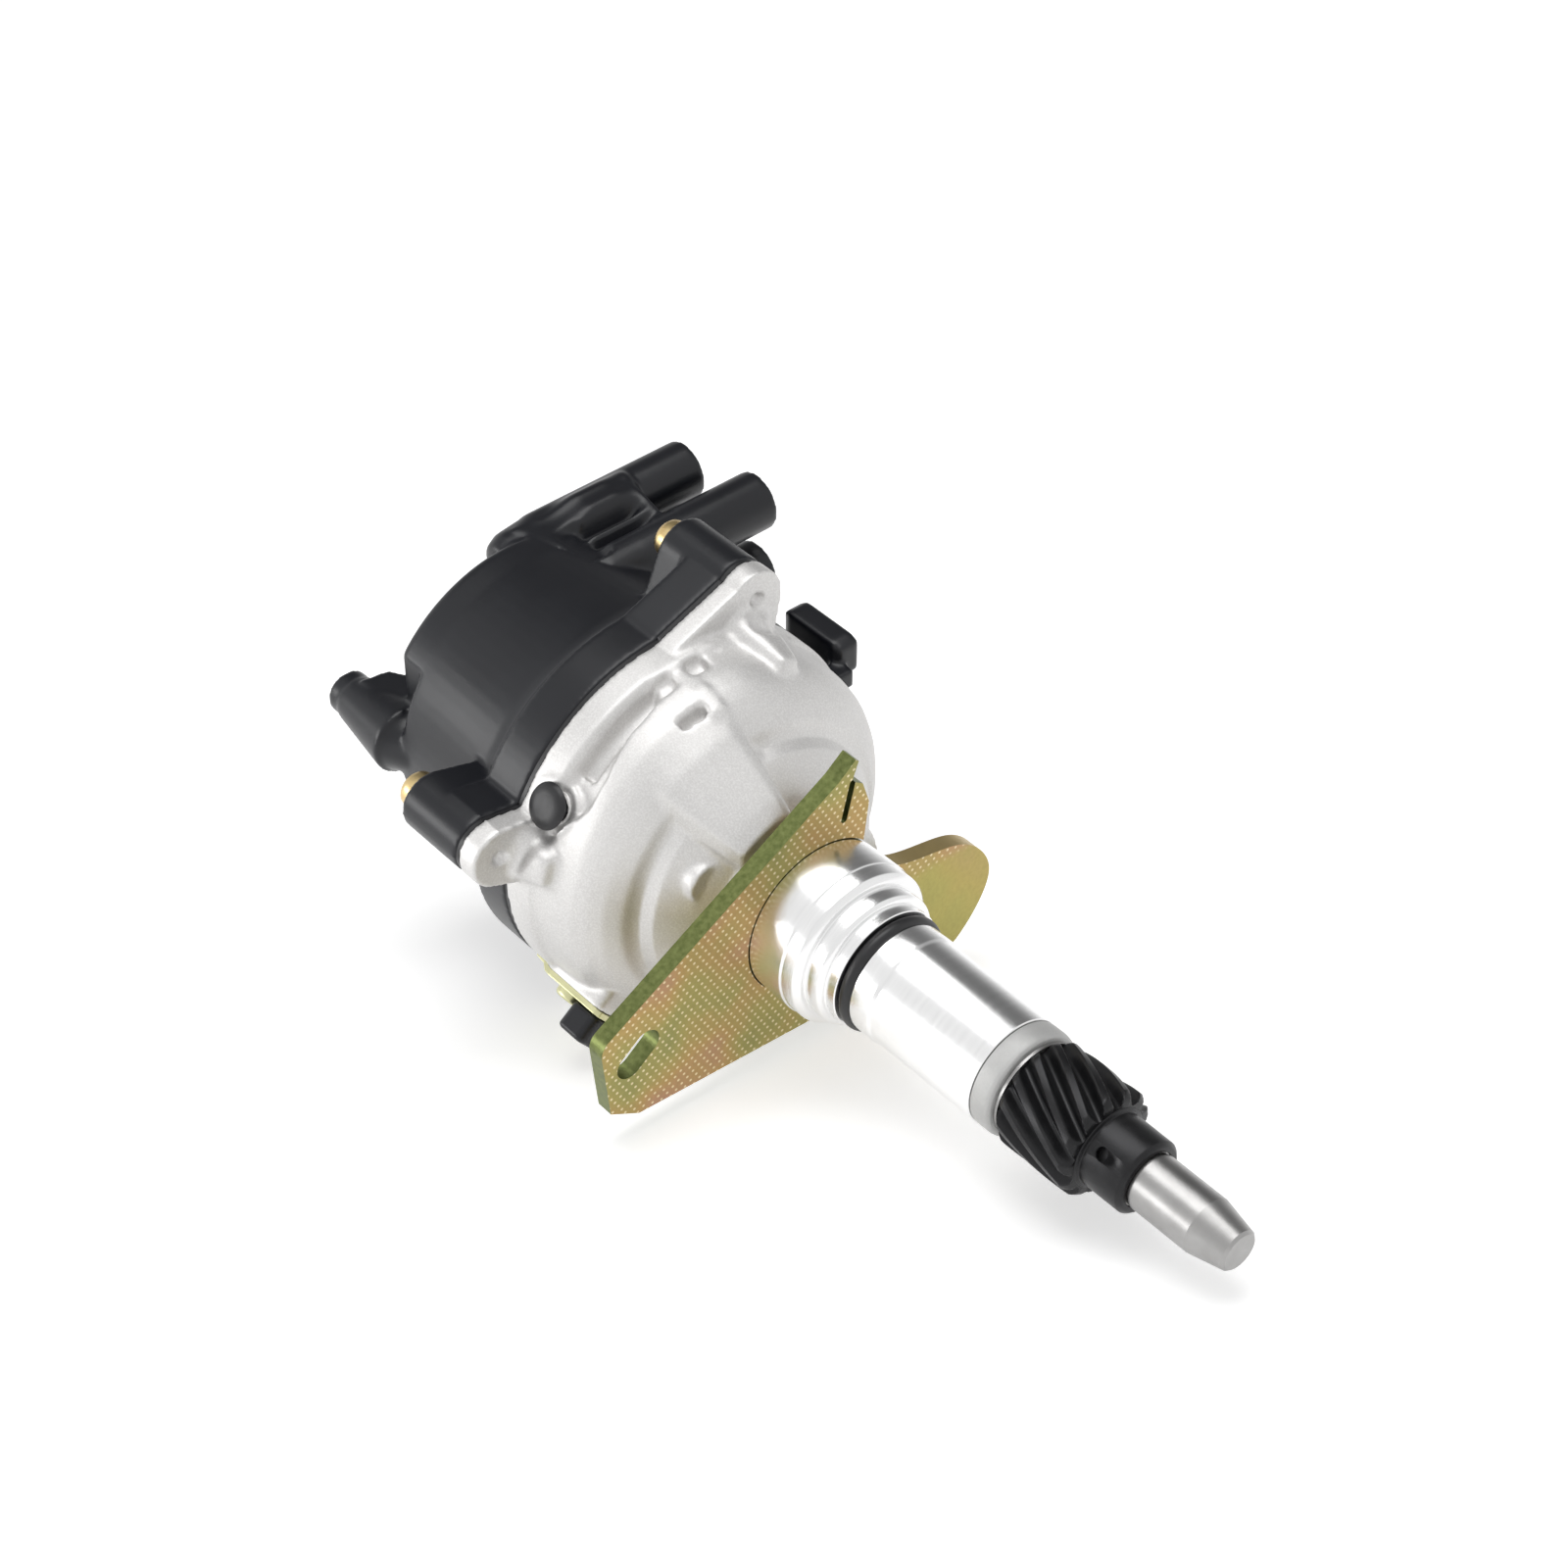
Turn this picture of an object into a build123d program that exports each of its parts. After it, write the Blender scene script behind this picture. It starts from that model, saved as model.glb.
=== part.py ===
from build123d import *
import math
import os

os.makedirs("parts", exist_ok=True)

# Side-exit ignition distributor for a four-cylinder engine, lying on its side.
# The shaft axis is X and +X points at the drive gear. x = 0 is the engine-side
# face of the mounting plate, the plug towers point along +Y, and Z is up.
# All sizes are in millimetres.

# ---- clearances
run_gap = 0.03        # radial running clearance of the shaft in its bushes
fit_gap = 0.05        # radial clearance of pieces that are pushed or screwed home

# ---- mounting neck and barrel (casting, engine side)
plate_t = 4.0         # thickness of the mounting plate
neck_r = 18.2         # collar that carries the mounting plate
neck_len = 13.0       # collar length past the plate
step_r = 15.5         # stepped land in front of the seal
seat_r = 13.9         # land behind the seal groove
ring_x = 22.8         # centre of the barrel seal
ring_wire = 3.2       # seal section diameter
ring_r = 11.95        # seal centreline radius
pilot_r = 12.7        # pilot land that fits the engine bore
pilot_len = 5.2
barrel_r = 12.3
band_x = 59.5         # start of the as-cast end band
band_r = 12.1
barrel_end_x = 64.0

# ---- bowl of the casting
rim_x = -47.5         # joint face under the cap
rim_r = 43.3
rim_t = 5.0           # thickness of the ears
flange_len = 7.6      # plain band below the joint face
wall_step = 0.9       # bowl wall inside the rim
wall_draft = 0.4      # how much the wall draws in on its way down
bowl_wall = 5.5       # wall thickness at the shoulder
hip_x = -32.6         # where the bowl wall starts to round in
hip_len = 11.4
hip_drop = 7.4        # from the wall to the edge of the shoulder
nose_x = -8.0
nose_step = 2.6       # shoulder behind the mounting plate, over the collar
groove_w = 4.6        # channel below the band, between ear and vent
groove_t = 2.6
groove_from = 86.0
groove_arc = 50.0
web_angle = 95.0      # web from the band to the collar
web_t = 3.4
pocket_arc = 12.0     # pocket beside the web
pocket_t = 4.2
nub_angle = 147.0     # lug on the cone
nub_pitch_r = 23.0
nub_r = 4.4
ledge_x = -27.0       # ledge for the pickup plate
well_r = 27.5         # chamber for the advance weights
well_x = -13.0
shield_lip = 1.3      # how far the shield's seat stands outside the bowl's bore
shield_t = 1.5

# ---- ears for the cap screws
ear_reach = 6.7       # screw circle outside the rim
ear_round = 6.8
ear_angles = (65.7, 163.0, 307.0)
ear_flare = (19.0, 8.0, 12.0)
screw_r = 2.5
screw_head_r = 4.5
screw_head_t = 3.0

# ---- cap
gasket_t = 1.0
skirt_len = 10.5
skirt_step = 3.9      # dome wall inside the skirt
skirt_flare = 5.5     # length of the flare between skirt and wall
dome_draft = 2.6
dome_len = 49.5       # joint face to the closed end of the dome
dome_round = 5.0
cap_wall = 2.3        # dome wall at the closed end
cap_bore_len = 35.5
boss_len = 18.5       # height of the screw bosses
crown_t = 3.4         # raised crown over the upper towers
crown_z = 8.0

# ---- towers
tower_r = 6.8
socket_r = 4.3
socket_len = 16.0
tower_pitch_x = 19.1
tower_pitch_z = 19.0
tower_offset = 5.6    # far towers beyond the closed end
tower_z_high = 30.0
tower_end_near = 56.5
tower_end_far = 51.8
web_end_y = 34.0
coil_inset = 4.3      # coil tower's axis inside the dome wall
coil_z = 2.0
coil_root_r = 8.3
coil_tip_r = 5.5
coil_lip_r = 5.1
coil_lip_len = 4.0
coil_len = 22.0       # root to mouth
coil_socket_r = 4.0
coil_socket_len = 15.0
button_r = 3.4        # contact button at the bottom of a socket
button_t = 1.5
wire_r = 1.5          # moulded-in conductor

# ---- terminals and rotor
post_r = 2.0
post_inset = 5.3      # posts inside the dome's bore
post_angles = (45.0, 135.0, 225.0, 315.0)
post_tip_x = -61.0
post_boss_r = 4.5
spark_gap = 0.8
strip_x = -62.3       # underside of the rotor strip
strip_t = 1.2
strip_w = 6.0
brush_r = 2.2
brush_len = 9.5
brush_boss_r = 5.2
brush_boss_x = -67.0

# ---- shaft and advance mechanism
shaft_r = 6.25
tip_x = 119.0
tip_taper_len = 8.5
tip_taper_r = 4.6
journal_r = 4.2
journal_end_x = -50.05
governor_x = -15.8
governor_t = 1.7
governor_r = 22.0
weight_t = 4.5
weight_r = 21.5
weight_in_r = 8.0
pivot_pitch_r = 17.0
pivot_r = 2.0
yoke_t = 1.2
yoke_pin_r = 1.2
yoke_pin_pitch_r = 10.5
yoke_angle = 200.0
sleeve_r = 6.2
sleeve_end_x = -56.0
spring_post_r = 1.1
plate2_t = 2.0        # pickup plate
reluctor_r = 14.5
reluctor_hub_r = 9.0
reluctor_len = 8.0
pole_gap = 0.5

# ---- drive gear
gear_gap = 0.8        # thrust washer thickness
gear_len = 19.7
gear_r = 12.0
gear_root_r = 9.5
gear_teeth = 13
gear_twist = 52.0     # turn of the teeth over the gear length, degrees
gear_hub_r = 8.3
gear_hub_len = 11.0
gear_pin_r = 1.6

# ---- outside pieces on the bowl
vent_x = -40.5
vent_angle = 147.0
vent_boss_r = 6.8
vent_boss_h = 7.4
vent_hole_r = 3.6
vent_plug_r = 4.9
pad_x = -35.5
pad_angle = 217.0
connector_z = 6.5
connector_t = 6.2
connector_gap = 1.0   # between the connector and the cap's skirt
foot_x0 = -45.6
foot_t = 5.4
foot_w = 13.0
foot_len = 14.0
seat_rise = 0.1       # vent seat and bracket pad over the rim
relief_t = 0.25       # undercut in the shaft at the gear's hub

# ---- derived radii
bowl_top_r = rim_r - wall_step
bowl_low_r = bowl_top_r - wall_draft
bowl_bore_r = bowl_low_r - bowl_wall
hip_r = bowl_low_r - hip_drop
nose_r = neck_r + nose_step
shield_r = bowl_bore_r + shield_lip
ear_pitch_r = rim_r + ear_reach
gasket_bore_r = bowl_bore_r + 0.8
wall_foot_r = rim_r - skirt_step
wall_top_r = wall_foot_r - dome_draft
cap_bore_r = wall_top_r - cap_wall
post_pitch_r = cap_bore_r - post_inset
seat_top_r = rim_r + seat_rise
coil_y = -(wall_top_r - coil_inset)
connector_y = rim_r + connector_gap + connector_t / 2

# ---- derived stations
cap_x = rim_x - gasket_t
skirt_x = cap_x - skirt_len
dome_x = cap_x - dome_len
roof_x = cap_x - cap_bore_len
boss_x = cap_x - boss_len
tower_x_far = dome_x - tower_offset
tower_x_near = tower_x_far + tower_pitch_x
tower_z_low = tower_z_high - tower_pitch_z
coil_root_x = dome_x + 1.0
coil_mouth_x = coil_root_x - coil_len
groove_x0 = ring_x - ring_wire / 2 - fit_gap
groove_x1 = ring_x + ring_wire / 2 + fit_gap
groove_r = ring_r - ring_wire / 2
pilot_x = groove_x1 + pilot_len
washer_x = barrel_end_x
gear_x0 = washer_x + gear_gap
gear_x1 = gear_x0 + gear_len
hub_x1 = gear_x1 + gear_hub_len
weight_x0 = governor_x - governor_t - 0.1
weight_x1 = weight_x0 - weight_t
shoulder_x = weight_x1 - 0.1
sleeve_x0 = shoulder_x - 0.1
pickup_x1 = ledge_x - plate2_t
shield_x = rim_x + shield_t + 0.1
strip_top_x = strip_x - strip_t
post_in_r = post_pitch_r - post_r


def polar(radius, angle):
    """Point (y, z) in a cross-section of the shaft axis."""
    return radius * math.cos(math.radians(angle)), radius * math.sin(math.radians(angle))


def ear_outline(extra=0.0):
    """Rim outline with its three ears, drawn in the current sketch."""
    Circle(rim_r - extra)
    for angle, flare in zip(ear_angles, ear_flare):
        with PolarLocations(ear_pitch_r, 1, start_angle=angle):
            Circle(ear_round - extra)
            Polygon(
                (2.0, -ear_round + extra),
                (2.0, ear_round - extra),
                (-10.5, flare - extra),
                (-14.0, flare - extra),
                (-14.0, -min(flare, 9.0) + extra),
                (-8.0, -min(flare, 9.0) + extra),
                align=None,
            )


vent_plane = Plane(
    origin=(vent_x, *polar(seat_top_r, vent_angle)), x_dir=(1, 0, 0), z_dir=(0, *polar(1, vent_angle))
)
pad_plane = Plane(
    origin=(pad_x, *polar(seat_top_r, pad_angle)), x_dir=(1, 0, 0), z_dir=(0, *polar(1, pad_angle))
)

# =====================================================================
# Housing: rim and ears, bowl, neck, barrel
# =====================================================================
with BuildPart() as housing:
    # turned and cast outline round the shaft axis
    with BuildSketch(Plane.XY):
        with BuildLine():
            Polyline(
                (rim_x, 0),
                (rim_x, rim_r),
                (rim_x + flange_len, rim_r),
                (rim_x + flange_len + 0.6, bowl_top_r),
                (hip_x, bowl_low_r),
                (hip_x + hip_len * 0.30, bowl_low_r - hip_drop * 0.09),
                (hip_x + hip_len * 0.56, bowl_low_r - hip_drop * 0.30),
                (hip_x + hip_len * 0.80, bowl_low_r - hip_drop * 0.62),
                (hip_x + hip_len, hip_r),
                (hip_x + hip_len + 0.9, hip_r - 1.4),
                (nose_x - 3.0, nose_r + 3.4),
                (nose_x, nose_r),
                (-plate_t, nose_r),
                (-plate_t, neck_r),
                (neck_len - 3.4, neck_r),
                (neck_len - 3.2, neck_r - 0.35),
                (neck_len, neck_r - 0.35),
                (neck_len + 1.2, neck_r - 1.6),
                (neck_len + 1.2, step_r),
                (groove_x0 - 3.4, step_r),
                (groove_x0 - 2.6, step_r - 0.9),
                (groove_x0 - 2.6, seat_r),
                (groove_x0, seat_r),
                (groove_x0, groove_r),
                (groove_x1, groove_r),
                (groove_x1, pilot_r),
                (pilot_x, pilot_r),
                (pilot_x + 0.8, barrel_r),
                (band_x, barrel_r),
                (band_x + 0.2, band_r),
                (barrel_end_x - 0.8, band_r),
                (barrel_end_x, band_r - 0.8),
                (barrel_end_x, 0),
                close=True,
            )
        make_face()
    revolve(axis=Axis.X)
    # rim with its three ears
    with BuildSketch(Plane.YZ.offset(rim_x)):
        ear_outline()
    extrude(amount=rim_t)
    # bosses that run from two of the ears down the bowl wall
    for angle, reach in ((ear_angles[0], 15.0), (ear_angles[1], 9.0)):
        with BuildSketch(Plane.YZ.offset(rim_x + rim_t - 0.5)):
            with PolarLocations(ear_pitch_r - 9.0, 1, start_angle=angle):
                RectangleRounded(13.0, 12.0, 4.0)
        extrude(amount=reach, taper=14)
    # vent boss
    with BuildSketch(vent_plane.offset(-vent_boss_h)):
        Circle(vent_boss_r)
    extrude(amount=vent_boss_h, taper=6)
    # pad for the lead bracket
    with BuildSketch(pad_plane.offset(-7.4)):
        with Locations((2.3, 0)):
            RectangleRounded(18.0, 13.0, 2.0)
    extrude(amount=7.4)
    # channel below the band, from the first ear to the vent
    with BuildSketch(Plane.XY.rotated((groove_from, 0, 0))):
        with BuildLine():
            Polyline(
                (rim_x + flange_len, rim_r + 1.0),
                (rim_x + flange_len, rim_r - groove_t),
                (rim_x + flange_len + groove_w - 1.2, bowl_low_r - groove_t),
                (rim_x + flange_len + groove_w, rim_r + 1.0),
                close=True,
            )
        make_face()
    revolve(axis=Axis.X, revolution_arc=groove_arc, mode=Mode.SUBTRACT)
    # pocket beside the web, on the shoulder
    with BuildSketch(Plane.XY.rotated((web_angle, 0, 0))):
        with BuildLine():
            Polyline(
                (hip_x + 2.4, rim_r + 1.0),
                (hip_x + 3.4, bowl_low_r - pocket_t),
                (hip_x + hip_len - 1.8, hip_r - 1.0),
                (hip_x + hip_len + 2.0, hip_r - 1.2),
                (hip_x + hip_len + 2.0, rim_r + 1.0),
                close=True,
            )
        make_face()
    revolve(axis=Axis.X, revolution_arc=pocket_arc, mode=Mode.SUBTRACT)
    # web from the band down to the collar
    with BuildSketch(Plane.XY.rotated((web_angle, 0, 0))):
        with BuildLine():
            Polyline(
                (rim_x + flange_len - 1.0, bowl_top_r - 5.5),
                (rim_x + flange_len - 1.0, bowl_top_r),
                (hip_x + 1.2, bowl_low_r + 0.3),
                (hip_x + hip_len * 0.56, bowl_low_r - hip_drop * 0.2),
                (hip_x + hip_len, hip_r + 0.9),
                (nose_x - 5.5, nose_r + 8.0),
                (nose_x - 0.6, nose_r + 1.6),
                (nose_x - 0.6, nose_r - 4.0),
                (hip_x + hip_len - 2.0, hip_r - 5.0),
                close=True,
            )
        make_face()
    extrude(amount=web_t / 2, both=True)
    # lug on the cone, with its sloping back
    with BuildSketch(Plane.YZ.offset(hip_x + hip_len + 0.6)):
        with PolarLocations(nub_pitch_r, 1, start_angle=nub_angle):
            Circle(nub_r)
            Polygon((0, -nub_r), (0, nub_r), (-7.0, nub_r + 1.0), (-7.0, -nub_r - 1.0), align=None)
    extrude(amount=9.6)
    # bowl, ledge and weight chamber
    with BuildSketch(Plane.XY):
        with BuildLine():
            Polyline(
                (rim_x - 1, 0),
                (rim_x - 1, shield_r + 0.2),
                (shield_x, shield_r + 0.2),
                (shield_x, bowl_bore_r),
                (ledge_x, bowl_bore_r),
                (ledge_x, well_r),
                (well_x - 6.0, well_r),
                (well_x, well_r - 8.5),
                (well_x, 11.0),
                (well_x + 4.5, 11.0),
                (well_x + 4.5, 9.0),
                (8.0, 9.0),
                (8.0, 7.2),
                (45.0, 7.2),
                (45.0, 9.0),
                (barrel_end_x + 1, 9.0),
                (barrel_end_x + 1, 0),
                close=True,
            )
        make_face()
    revolve(axis=Axis.X, mode=Mode.SUBTRACT)
    # window for the connector's foot and hole for the vent plug
    with BuildSketch(Plane.YZ.offset(foot_x0 - fit_gap)):
        with Locations((connector_y - connector_t / 2 - foot_len / 2 + 3.4, connector_z)):
            Rectangle(foot_len + 2.0, foot_w + 2 * fit_gap)
    extrude(amount=foot_t + 2 * fit_gap, mode=Mode.SUBTRACT)
    with BuildSketch(vent_plane):
        Circle(vent_hole_r + fit_gap)
    extrude(amount=-12.0, mode=Mode.SUBTRACT)
    with BuildSketch(pad_plane):
        with Locations((-1.0, 0)):
            Circle(1.6 + fit_gap)
    extrude(amount=-5.0, mode=Mode.SUBTRACT)
    # threaded holes in the ears (plain here)
    with BuildSketch(Plane.YZ.offset(rim_x)):
        for angle in ear_angles:
            with PolarLocations(ear_pitch_r, 1, start_angle=angle):
                Circle(screw_r + fit_gap)
    extrude(amount=rim_t + 16.0, mode=Mode.SUBTRACT)
housing.part.label = "housing"
export_step(housing.part, "parts/housing.step")
print("housing", housing.part.volume, len(housing.part.solids()))

# =====================================================================
# Mounting plate: stamped, open to one side, with a slot and a split end
# =====================================================================
with BuildPart() as mounting_plate:
    with BuildSketch(Plane.YZ.offset(-plate_t)) as plate_face:
        with BuildLine():
            Polyline(
                (-56.4, -2.2),
                (-54.6, -21.5),
                (-47.5, -26.0),
                (39.6, -33.4),
            )
            Spline(
                (39.6, -33.4),
                (46.8, -25.6),
                (49.5, -17.0),
                (46.9, -10.6),
                (41.7, -5.6),
                (34.2, -3.0),
                (22.0, 0.4),
            )
            Polyline(
                (22.0, 0.4),
                (12.6, 12.0),
                (14.0, 23.0),
                (12.2, 28.8),
                (9.9, 30.5),
                (9.2, 30.8),
                (11.0, 35.5),
                (10.2, 36.2),
                (5.6, 32.6),
                (-56.4, -2.2),
            )
        make_face()
        fillet(plate_face.vertices().group_by(Axis.X)[0], 4.0)
        fillet(plate_face.vertices().sort_by(Axis.Y)[0], 3.0)
        Circle(neck_r + fit_gap, mode=Mode.SUBTRACT)
        with Locations((-47.1, -9.2)):
            SlotOverall(12.0, 6.6, rotation=38, mode=Mode.SUBTRACT)
        with Locations((8.35, 26.2)):
            SlotOverall(10.5, 1.6, rotation=76, mode=Mode.SUBTRACT)
    extrude(amount=plate_t)
mounting_plate.part.label = "mounting_plate"
export_step(mounting_plate.part, "parts/mounting_plate.step")

# Barrel seal
with BuildPart() as o_ring:
    with BuildSketch(Plane.XY):
        with Locations((ring_x, ring_r)):
            Circle(ring_wire / 2)
    revolve(axis=Axis.X)
o_ring.part.label = "o_ring"
export_step(o_ring.part, "parts/o_ring.step")


# Gasket between the rim and the cap
with BuildPart() as cap_gasket:
    with BuildSketch(Plane.YZ.offset(cap_x)):
        ear_outline(0.3)
        Circle(gasket_bore_r + 1.0, mode=Mode.SUBTRACT)
        for angle in ear_angles:
            with PolarLocations(ear_pitch_r, 1, start_angle=angle):
                Circle(screw_r + 0.4, mode=Mode.SUBTRACT)
    extrude(amount=gasket_t)
cap_gasket.part.label = "cap_gasket"
export_step(cap_gasket.part, "parts/cap_gasket.step")

# =====================================================================
# Moulded-in conductors: post in the cap wall, link, pin in the tower
# =====================================================================
link_near_x = tower_x_near
link_far_x = roof_x - 6.5
terminal_routes = {
    "a": (
        (post_tip_x, *polar(post_pitch_r, 135.0)),
        (link_far_x, *polar(post_pitch_r, 135.0)),
        (link_far_x, 4.0, tower_z_high),
        (tower_x_far, 4.0, tower_z_high),
        (tower_x_far, tower_end_far - socket_len, tower_z_high),
        tower_end_far,
    ),
    "b": (
        (post_tip_x, *polar(post_pitch_r, 45.0)),
        (link_near_x, *polar(post_pitch_r, 45.0)),
        (link_near_x, polar(post_pitch_r, 45.0)[0], tower_z_high),
        (link_near_x, tower_end_near - socket_len, tower_z_high),
        tower_end_near,
    ),
    "c": (
        (post_tip_x, *polar(post_pitch_r, 315.0)),
        (link_near_x - 3.5, *polar(post_pitch_r, 315.0)),
        (link_near_x - 3.5, polar(post_pitch_r, 315.0)[0], tower_z_low),
        (link_near_x, polar(post_pitch_r, 315.0)[0] + 6.0, tower_z_low),
        (link_near_x, tower_end_near - socket_len, tower_z_low),
        tower_end_near,
    ),
    "d": (
        (post_tip_x, *polar(post_pitch_r, 225.0)),
        (link_far_x, *polar(post_pitch_r, 225.0)),
        (link_far_x, 12.0, polar(post_pitch_r, 225.0)[1]),
        (link_far_x, 12.0, tower_z_low),
        (tower_x_far, 12.0, tower_z_low),
        (tower_x_far, tower_end_far - socket_len, tower_z_low),
        tower_end_far,
    ),
}
cap_terminals = []
for name, route in terminal_routes.items():
    points = route[:-1]
    with BuildPart() as terminal:
        with BuildLine() as route_line:
            Polyline(*points)
        for segment in route_line.edges():
            with BuildSketch(Plane(origin=segment @ 0, z_dir=segment % 0)):
                Circle(wire_r)
            extrude(amount=segment.length)
        for corner in points[1:-1]:
            with Locations(corner):
                Sphere(wire_r)
        # contact post facing the rotor
        with BuildSketch(Plane.YZ.offset(post_tip_x)):
            with Locations(points[0][1:]):
                Circle(post_r)
        extrude(amount=-(post_tip_x - roof_x) - 2.0)
        # contact button that closes the socket
        with BuildSketch(Plane.XZ.offset(-points[-1][1])):
            with Locations((points[-1][0], points[-1][2])):
                Circle(button_r)
        extrude(amount=button_t)
    terminal.part.label = "cap_terminal_" + name
    export_step(terminal.part, "parts/cap_terminal_" + name + ".step")
    cap_terminals.append(terminal)
    print("terminal", name, terminal.part.volume, len(terminal.part.solids()))

# Coil terminal: pin in the coil tower, link across the roof, contact button
coil_link_x = dome_x + 4.6
button_x = roof_x + 2.5
with BuildPart() as coil_terminal:
    coil_points = [
        (coil_mouth_x + coil_socket_len, coil_y, coil_z),
        (coil_link_x, coil_y, coil_z),
        (coil_link_x, 0, 0),
        (button_x, 0, 0),
    ]
    with BuildLine() as coil_line:
        Polyline(*coil_points)
    for segment in coil_line.edges():
        with BuildSketch(Plane(origin=segment @ 0, z_dir=segment % 0)):
            Circle(wire_r)
        extrude(amount=segment.length)
    for corner in coil_points[1:3]:
        with Locations(corner):
            Sphere(wire_r)
    with BuildSketch(Plane.YZ.offset(button_x)):
        Circle(brush_r)
    extrude(amount=-4.0)
    with BuildSketch(Plane.YZ.offset(coil_points[0][0])):
        with Locations((coil_y, coil_z)):
            Circle(button_r)
    extrude(amount=button_t)
coil_terminal.part.label = "coil_terminal"
export_step(coil_terminal.part, "parts/coil_terminal.step")
print("coil terminal", coil_terminal.part.volume, len(coil_terminal.part.solids()))

# =====================================================================
# Cap: skirt, dome, crown, four plug towers, coil tower
# =====================================================================
with BuildPart() as distributor_cap:
    with BuildSketch(Plane.YZ.offset(cap_x)):
        ear_outline()
    extrude(amount=-skirt_len)
    # screw bosses
    with BuildSketch(Plane.YZ.offset(cap_x)):
        for angle in ear_angles:
            with PolarLocations(ear_pitch_r, 1, start_angle=angle):
                Circle(ear_round)
                Polygon(
                    (0, -ear_round), (0, ear_round), (-14.0, ear_round), (-14.0, -ear_round), align=None
                )
    extrude(amount=-boss_len)
    # dome with its sloping shoulder and rounded closed end
    with BuildSketch(Plane.XY):
        with BuildLine():
            Polyline(
                (cap_x, 0),
                (cap_x, rim_r),
                (skirt_x, rim_r),
                (skirt_x - skirt_flare * 0.16, rim_r - skirt_step * 0.5),
                (skirt_x - skirt_flare * 0.5, wall_foot_r + skirt_step * 0.13),
                (skirt_x - skirt_flare, wall_foot_r - 0.2),
                (dome_x + dome_round, wall_top_r),
            )
            RadiusArc(
                (dome_x + dome_round, wall_top_r), (dome_x, wall_top_r - dome_round), dome_round
            )
            Polyline((dome_x, wall_top_r - dome_round), (dome_x, 0), (cap_x, 0))
        make_face()
    revolve(axis=Axis.X)
    # raised crown above the upper towers
    with BuildSketch(Plane.YZ.offset(dome_x + dome_round)):
        Circle(wall_top_r)
        with Locations((0, crown_z - 50)):
            Rectangle(120, 100, mode=Mode.SUBTRACT)
        with Locations((-50 - (wall_top_r - 7.3), 0)):
            Rectangle(100, 120, mode=Mode.SUBTRACT)
    extrude(amount=-(dome_round + crown_t))
    fillet(distributor_cap.edges().group_by(Axis.X)[0], 2.4)
    # web that ties the four towers together
    web_x0 = tower_x_far - 1.0
    web_x1 = tower_x_near + 0.5
    with BuildSketch(Plane.XY.offset(tower_z_low - 4.0)):
        with BuildLine():
            Polyline(
                (web_x0, 4.0),
                (web_x0, web_end_y - 1.0),
                (web_x0 + 4.0, web_end_y),
                (web_x1, web_end_y),
                (web_x1, 12.0),
                close=True,
            )
        make_face()
    extrude(amount=tower_z_high + tower_r - (tower_z_low - 4.0) - 0.4)
    for tx in (tower_x_far, tower_x_near):
        for tz in (tower_z_low, tower_z_high):
            start = 22.0 if tx == tower_x_near else 4.0 + tower_r
            reach = tower_end_near if tx == tower_x_near else tower_end_far
            if tx == tower_x_far:
                with Locations((tx, start, tz)):
                    Sphere(tower_r)
            with BuildSketch(Plane.XZ.offset(-start)):
                with Locations((tx, tz)):
                    Circle(tower_r)
            extrude(amount=-(reach - start))
    # coil tower on the closed end, with its lip and the web towards the centre
    with BuildSketch(Plane.XY.offset(coil_z)):
        with BuildLine():
            Polyline(
                (coil_root_x, coil_y),
                (coil_root_x, coil_y - coil_root_r),
                (coil_mouth_x + coil_lip_len, coil_y - coil_tip_r),
                (coil_mouth_x + coil_lip_len, coil_y - coil_lip_r),
                (coil_mouth_x, coil_y - coil_lip_r),
                (coil_mouth_x, coil_y),
                close=True,
            )
        make_face()
    revolve(axis=Axis((0, coil_y, coil_z), (1, 0, 0)))
    with BuildSketch(Plane.XY.offset(coil_z - 5.0)):
        with BuildLine():
            Polyline(
                (dome_x + 2.0, coil_y),
                (coil_mouth_x + coil_lip_len + 2.0, coil_y),
                (coil_mouth_x + coil_lip_len + 3.0, coil_y + 6.5),
                (coil_mouth_x + coil_lip_len + 6.6, coil_y + 8.6),
                (dome_x - 3.0, coil_y + 20.0),
                (dome_x + 2.0, coil_y + 24.0),
                close=True,
            )
        make_face()
    extrude(amount=11.6)
    # slots between the upper towers
    for slot_x in (tower_x_near - 8.2, tower_x_near - 11.4):
        with BuildSketch(Plane.XZ.offset(-web_end_y + 3.0)):
            with Locations((slot_x, tower_z_high + tower_r)):
                Rectangle(1.8, 9.0)
        extrude(amount=14.0, mode=Mode.SUBTRACT)
    # inside of the dome
    with BuildSketch(Plane.XY):
        with BuildLine():
            Polyline(
                (cap_x + 1, 0),
                (cap_x + 1, gasket_bore_r),
                (skirt_x - 3.0, gasket_bore_r),
                (skirt_x - 5.0, cap_bore_r),
                (roof_x, cap_bore_r),
                (roof_x, 0),
                close=True,
            )
        make_face()
    revolve(axis=Axis.X, mode=Mode.SUBTRACT)
    # post bosses and brush boss
    with BuildSketch(Plane.YZ.offset(roof_x)):
        with PolarLocations(post_pitch_r + 3.8, 4, start_angle=post_angles[0]):
            Circle(post_boss_r)
    extrude(amount=(post_tip_x - 3.0) - roof_x)
    with BuildSketch(Plane.YZ.offset(roof_x)):
        Circle(brush_boss_r)
    extrude(amount=brush_boss_x - roof_x)
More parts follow.
